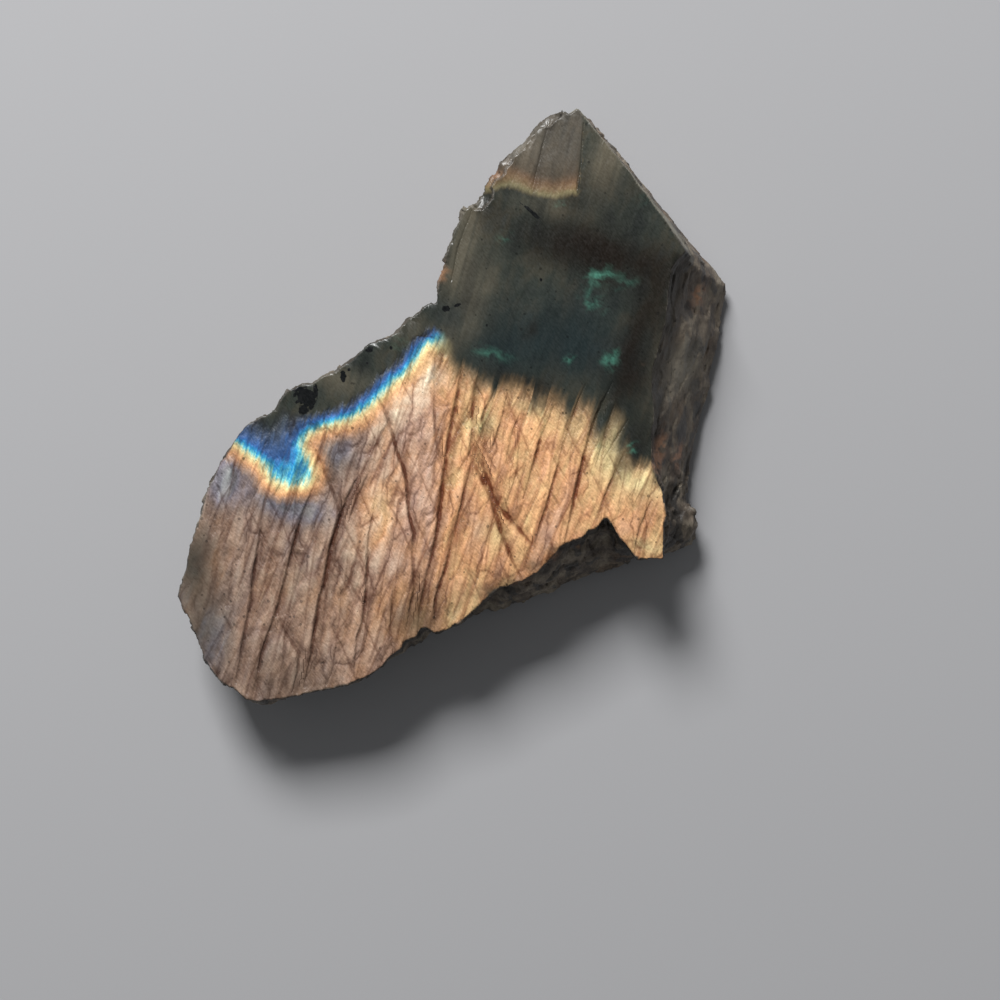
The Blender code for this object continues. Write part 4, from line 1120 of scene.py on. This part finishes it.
    # The underside: sawn flat, dull, with faint parallel saw marks and brown stains.
    saw_marks = mottle(millimetres, SAW_LEAN, 60.0, 0.45, 1.0)
    dusty = add(tree, "ShaderNodeMapRange", {0: chips, 1: 0.36, 2: 0.64}, interpolation_type="SMOOTHSTEP")
    underside = add(
        tree, "ShaderNodeMix", {0: dusty, 6: linear("#645D53"), 7: linear("#7B7467")}, data_type="RGBA",
    ).outputs[2]
    sawn_share = add(
        tree, "ShaderNodeMapRange", {0: saw_marks, 1: 0.40, 2: 0.62, 3: 0.0, 4: 0.50},
        interpolation_type="SMOOTHSTEP",
    )
    stained_share = add(tree, "ShaderNodeMath", {0: stain, 1: 0.4}, operation="MULTIPLY")
    speckled_share = add(
        tree, "ShaderNodeMapRange", {0: specks, 1: 0.55, 2: 0.65, 3: 0.0, 4: 0.50},
        interpolation_type="SMOOTHSTEP",
    )
    for share, tint in ((sawn_share, "#3D3831"), (stained_share, "#67503A"), (speckled_share, "#9A9485")):
        underside = add(
            tree, "ShaderNodeMix", {0: share, 6: underside, 7: linear(tint)}, data_type="RGBA",
        ).outputs[2]
    whole = add(tree, "ShaderNodeMix", {0: field["ground"], 6: sides, 7: face}, data_type="RGBA").outputs[2]
    whole = add(
        tree, "ShaderNodeMix", {0: field["sawn"], 6: whole, 7: underside}, data_type="RGBA",
    ).outputs[2]
    tree.links.new(whole, shader.inputs["Base Color"])

    satin = add(
        tree, "ShaderNodeMapRange", {0: grain, 1: 0.3, 2: 0.7, 3: 0.20, 4: 0.32},
        interpolation_type="SMOOTHSTEP",
    )
    satin = add(tree, "ShaderNodeMath", {0: in_flash, 1: 0.20, 2: satin}, operation="MULTIPLY_ADD")
    fracture = add(
        tree, "ShaderNodeMapRange", {0: chips, 1: 0.35, 2: 0.65, 3: 0.54, 4: 0.70},
        interpolation_type="SMOOTHSTEP",
    )
    fracture = add(tree, "ShaderNodeMix", {0: glassy, 2: fracture, 3: 0.50})
    roughness = add(tree, "ShaderNodeMix", {0: field["ground"], 2: fracture, 3: satin})
    roughness = add(tree, "ShaderNodeMix", {0: field["sawn"], 2: roughness, 3: 0.72})
    tree.links.new(roughness.outputs[0], shader.inputs["Roughness"])
    bumps = 0.0
    for pattern, size in ((grain, 0.05), (scratches, 0.03), (dapple, 0.30)):
        bumps = add(tree, "ShaderNodeMath", {0: bumps, 1: swing(pattern, size)}, operation="ADD")
    swell_with_painted_shading = add(tree, "ShaderNodeMath", {0: swell_with_painted_shading, 1: in_flash}, operation="MULTIPLY")
    for part, rise in ((swell_with_painted_shading, 0.08), (pit, -0.08)):
        bumps = add(tree, "ShaderNodeMath", {0: part, 1: rise, 2: bumps}, operation="MULTIPLY_ADD")
    off_face = add(tree, "ShaderNodeMath", {0: 1.0, 1: field["ground"]}, operation="SUBTRACT")
    bump_share = add(tree, "ShaderNodeMath", {0: in_flash, 1: off_face}, operation="MAXIMUM")
    bumps = add(tree, "ShaderNodeMath", {0: bumps, 1: bump_share}, operation="MULTIPLY")
    fine = add(tree, "ShaderNodeMath", {0: fine, 1: in_flash}, operation="MULTIPLY")
    for part, rise in ((fine, -0.07), (core, -0.16)):
        bumps = add(tree, "ShaderNodeMath", {0: part, 1: rise, 2: bumps}, operation="MULTIPLY_ADD")
    bumps = add(tree, "ShaderNodeMix", {0: field["sawn"], 2: bumps, 3: swing(saw_marks, 0.06)})
    bump = add(tree, "ShaderNodeBump", {"Height": bumps, "Distance": MM, "Strength": 1.0})
    tree.links.new(bump.outputs[0], shader.inputs["Normal"])
    return material


def set_inputs(modifier, **values):
    """Sets a modifier's inputs by their sockets' identifiers. Underscores stand for spaces in their names."""
    for item in modifier.node_group.interface.items_tree:
        key = item.name.replace(" ", "_").lower()
        if item.item_type == "SOCKET" and item.in_out == "INPUT" and key in values:
            modifier[item.identifier] = values[key]


crack_lines = crack_curves()
relief = stone.modifiers.new("relief", "NODES")
relief.node_group = relief_tree()
set_inputs(relief, crack_lines=crack_lines, stone=labradorite())
apply_modifiers(stone)
bpy.data.objects.remove(crack_lines)

MOST_TRIANGLES = 190000
triangles = sum(len(face.vertices) - 2 for face in stone.data.polygons)
if triangles > MOST_TRIANGLES:
    thinning = stone.modifiers.new("thinning", "DECIMATE")
    thinning.ratio = MOST_TRIANGLES / triangles
    apply_modifiers(stone)
stone.data.shade_smooth()


RIDGE_SOFTENING = 6


def mark_ridges(piece):
    """Stores how far each place stands out of its surroundings, for the paler ridges and the shade painted in
    hollows.
    """
    sharp = places_of(piece.data)
    softening = piece.modifiers.new("softening", "SMOOTH")
    softening.iterations = RIDGE_SOFTENING
    bpy.context.view_layer.update()
    soft = places_of(piece.evaluated_get(bpy.context.evaluated_depsgraph_get()).data)
    piece.modifiers.clear()
    store(piece.data, "ridge", np.sum((sharp - soft) * normals_of(piece.data), axis=1))


mark_ridges(stone)

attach(stone, "root")
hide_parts("labradorite_chunk")

# Floor, light and camera
# A plain pale sheet, a window's soft light from the upper left, and a camera that looks straight down.

FLOOR_SIZE = 3.0


def floor_material():
    material = bpy.data.materials.new("pale_matt_sheet")
    material.use_nodes = True
    shader = material.node_tree.nodes["Principled BSDF"]
    shader.inputs["Base Color"].default_value = linear("#B4B4B6")
    shader.inputs["Roughness"].default_value = 0.9
    return material


bpy.ops.mesh.primitive_plane_add(size=FLOOR_SIZE)
floor = bpy.context.object
floor.name = "floor"
floor.data.materials.append(floor_material())

FACE_HEIGHT = 0.0125
CAMERA_DISTANCE = 0.24
VIEW_WIDTH = 0.120
VIEW_MIDDLE = (0.0060, -0.0114)
SENSOR_WIDTH = 36.0
NEAREST_SEEN = 0.005

camera = bpy.data.objects.new("camera", bpy.data.cameras.new("camera"))
bpy.context.scene.collection.objects.link(camera)
camera.location = (VIEW_MIDDLE[0], VIEW_MIDDLE[1], FACE_HEIGHT + CAMERA_DISTANCE)
camera.data.sensor_width = SENSOR_WIDTH
camera.data.lens = SENSOR_WIDTH * CAMERA_DISTANCE / VIEW_WIDTH
camera.data.clip_start = NEAREST_SEEN
bpy.context.scene.camera = camera

LIGHT_DISTANCE = 0.75
LIGHT_DIRECTION = Vector((-0.25, 0.70, 0.67)).normalized()
LIGHT_SIZE = 0.26
LIGHT_POWER = 6.9
ROOM_LIGHT = 0.19

window = bpy.data.objects.new("window", bpy.data.lights.new("window", "AREA"))
bpy.context.scene.collection.objects.link(window)
window.location = LIGHT_DIRECTION * LIGHT_DISTANCE
window.rotation_euler = LIGHT_DIRECTION.to_track_quat("Z", "Y").to_euler()
window.data.size = LIGHT_SIZE
window.data.energy = LIGHT_POWER

world = bpy.data.worlds.new("room")
world.use_nodes = True
world.node_tree.nodes["Background"].inputs["Color"].default_value = linear("#DCDEE0")
world.node_tree.nodes["Background"].inputs["Strength"].default_value = ROOM_LIGHT
bpy.context.scene.world = world
bpy.context.scene.view_settings.view_transform = "Standard"
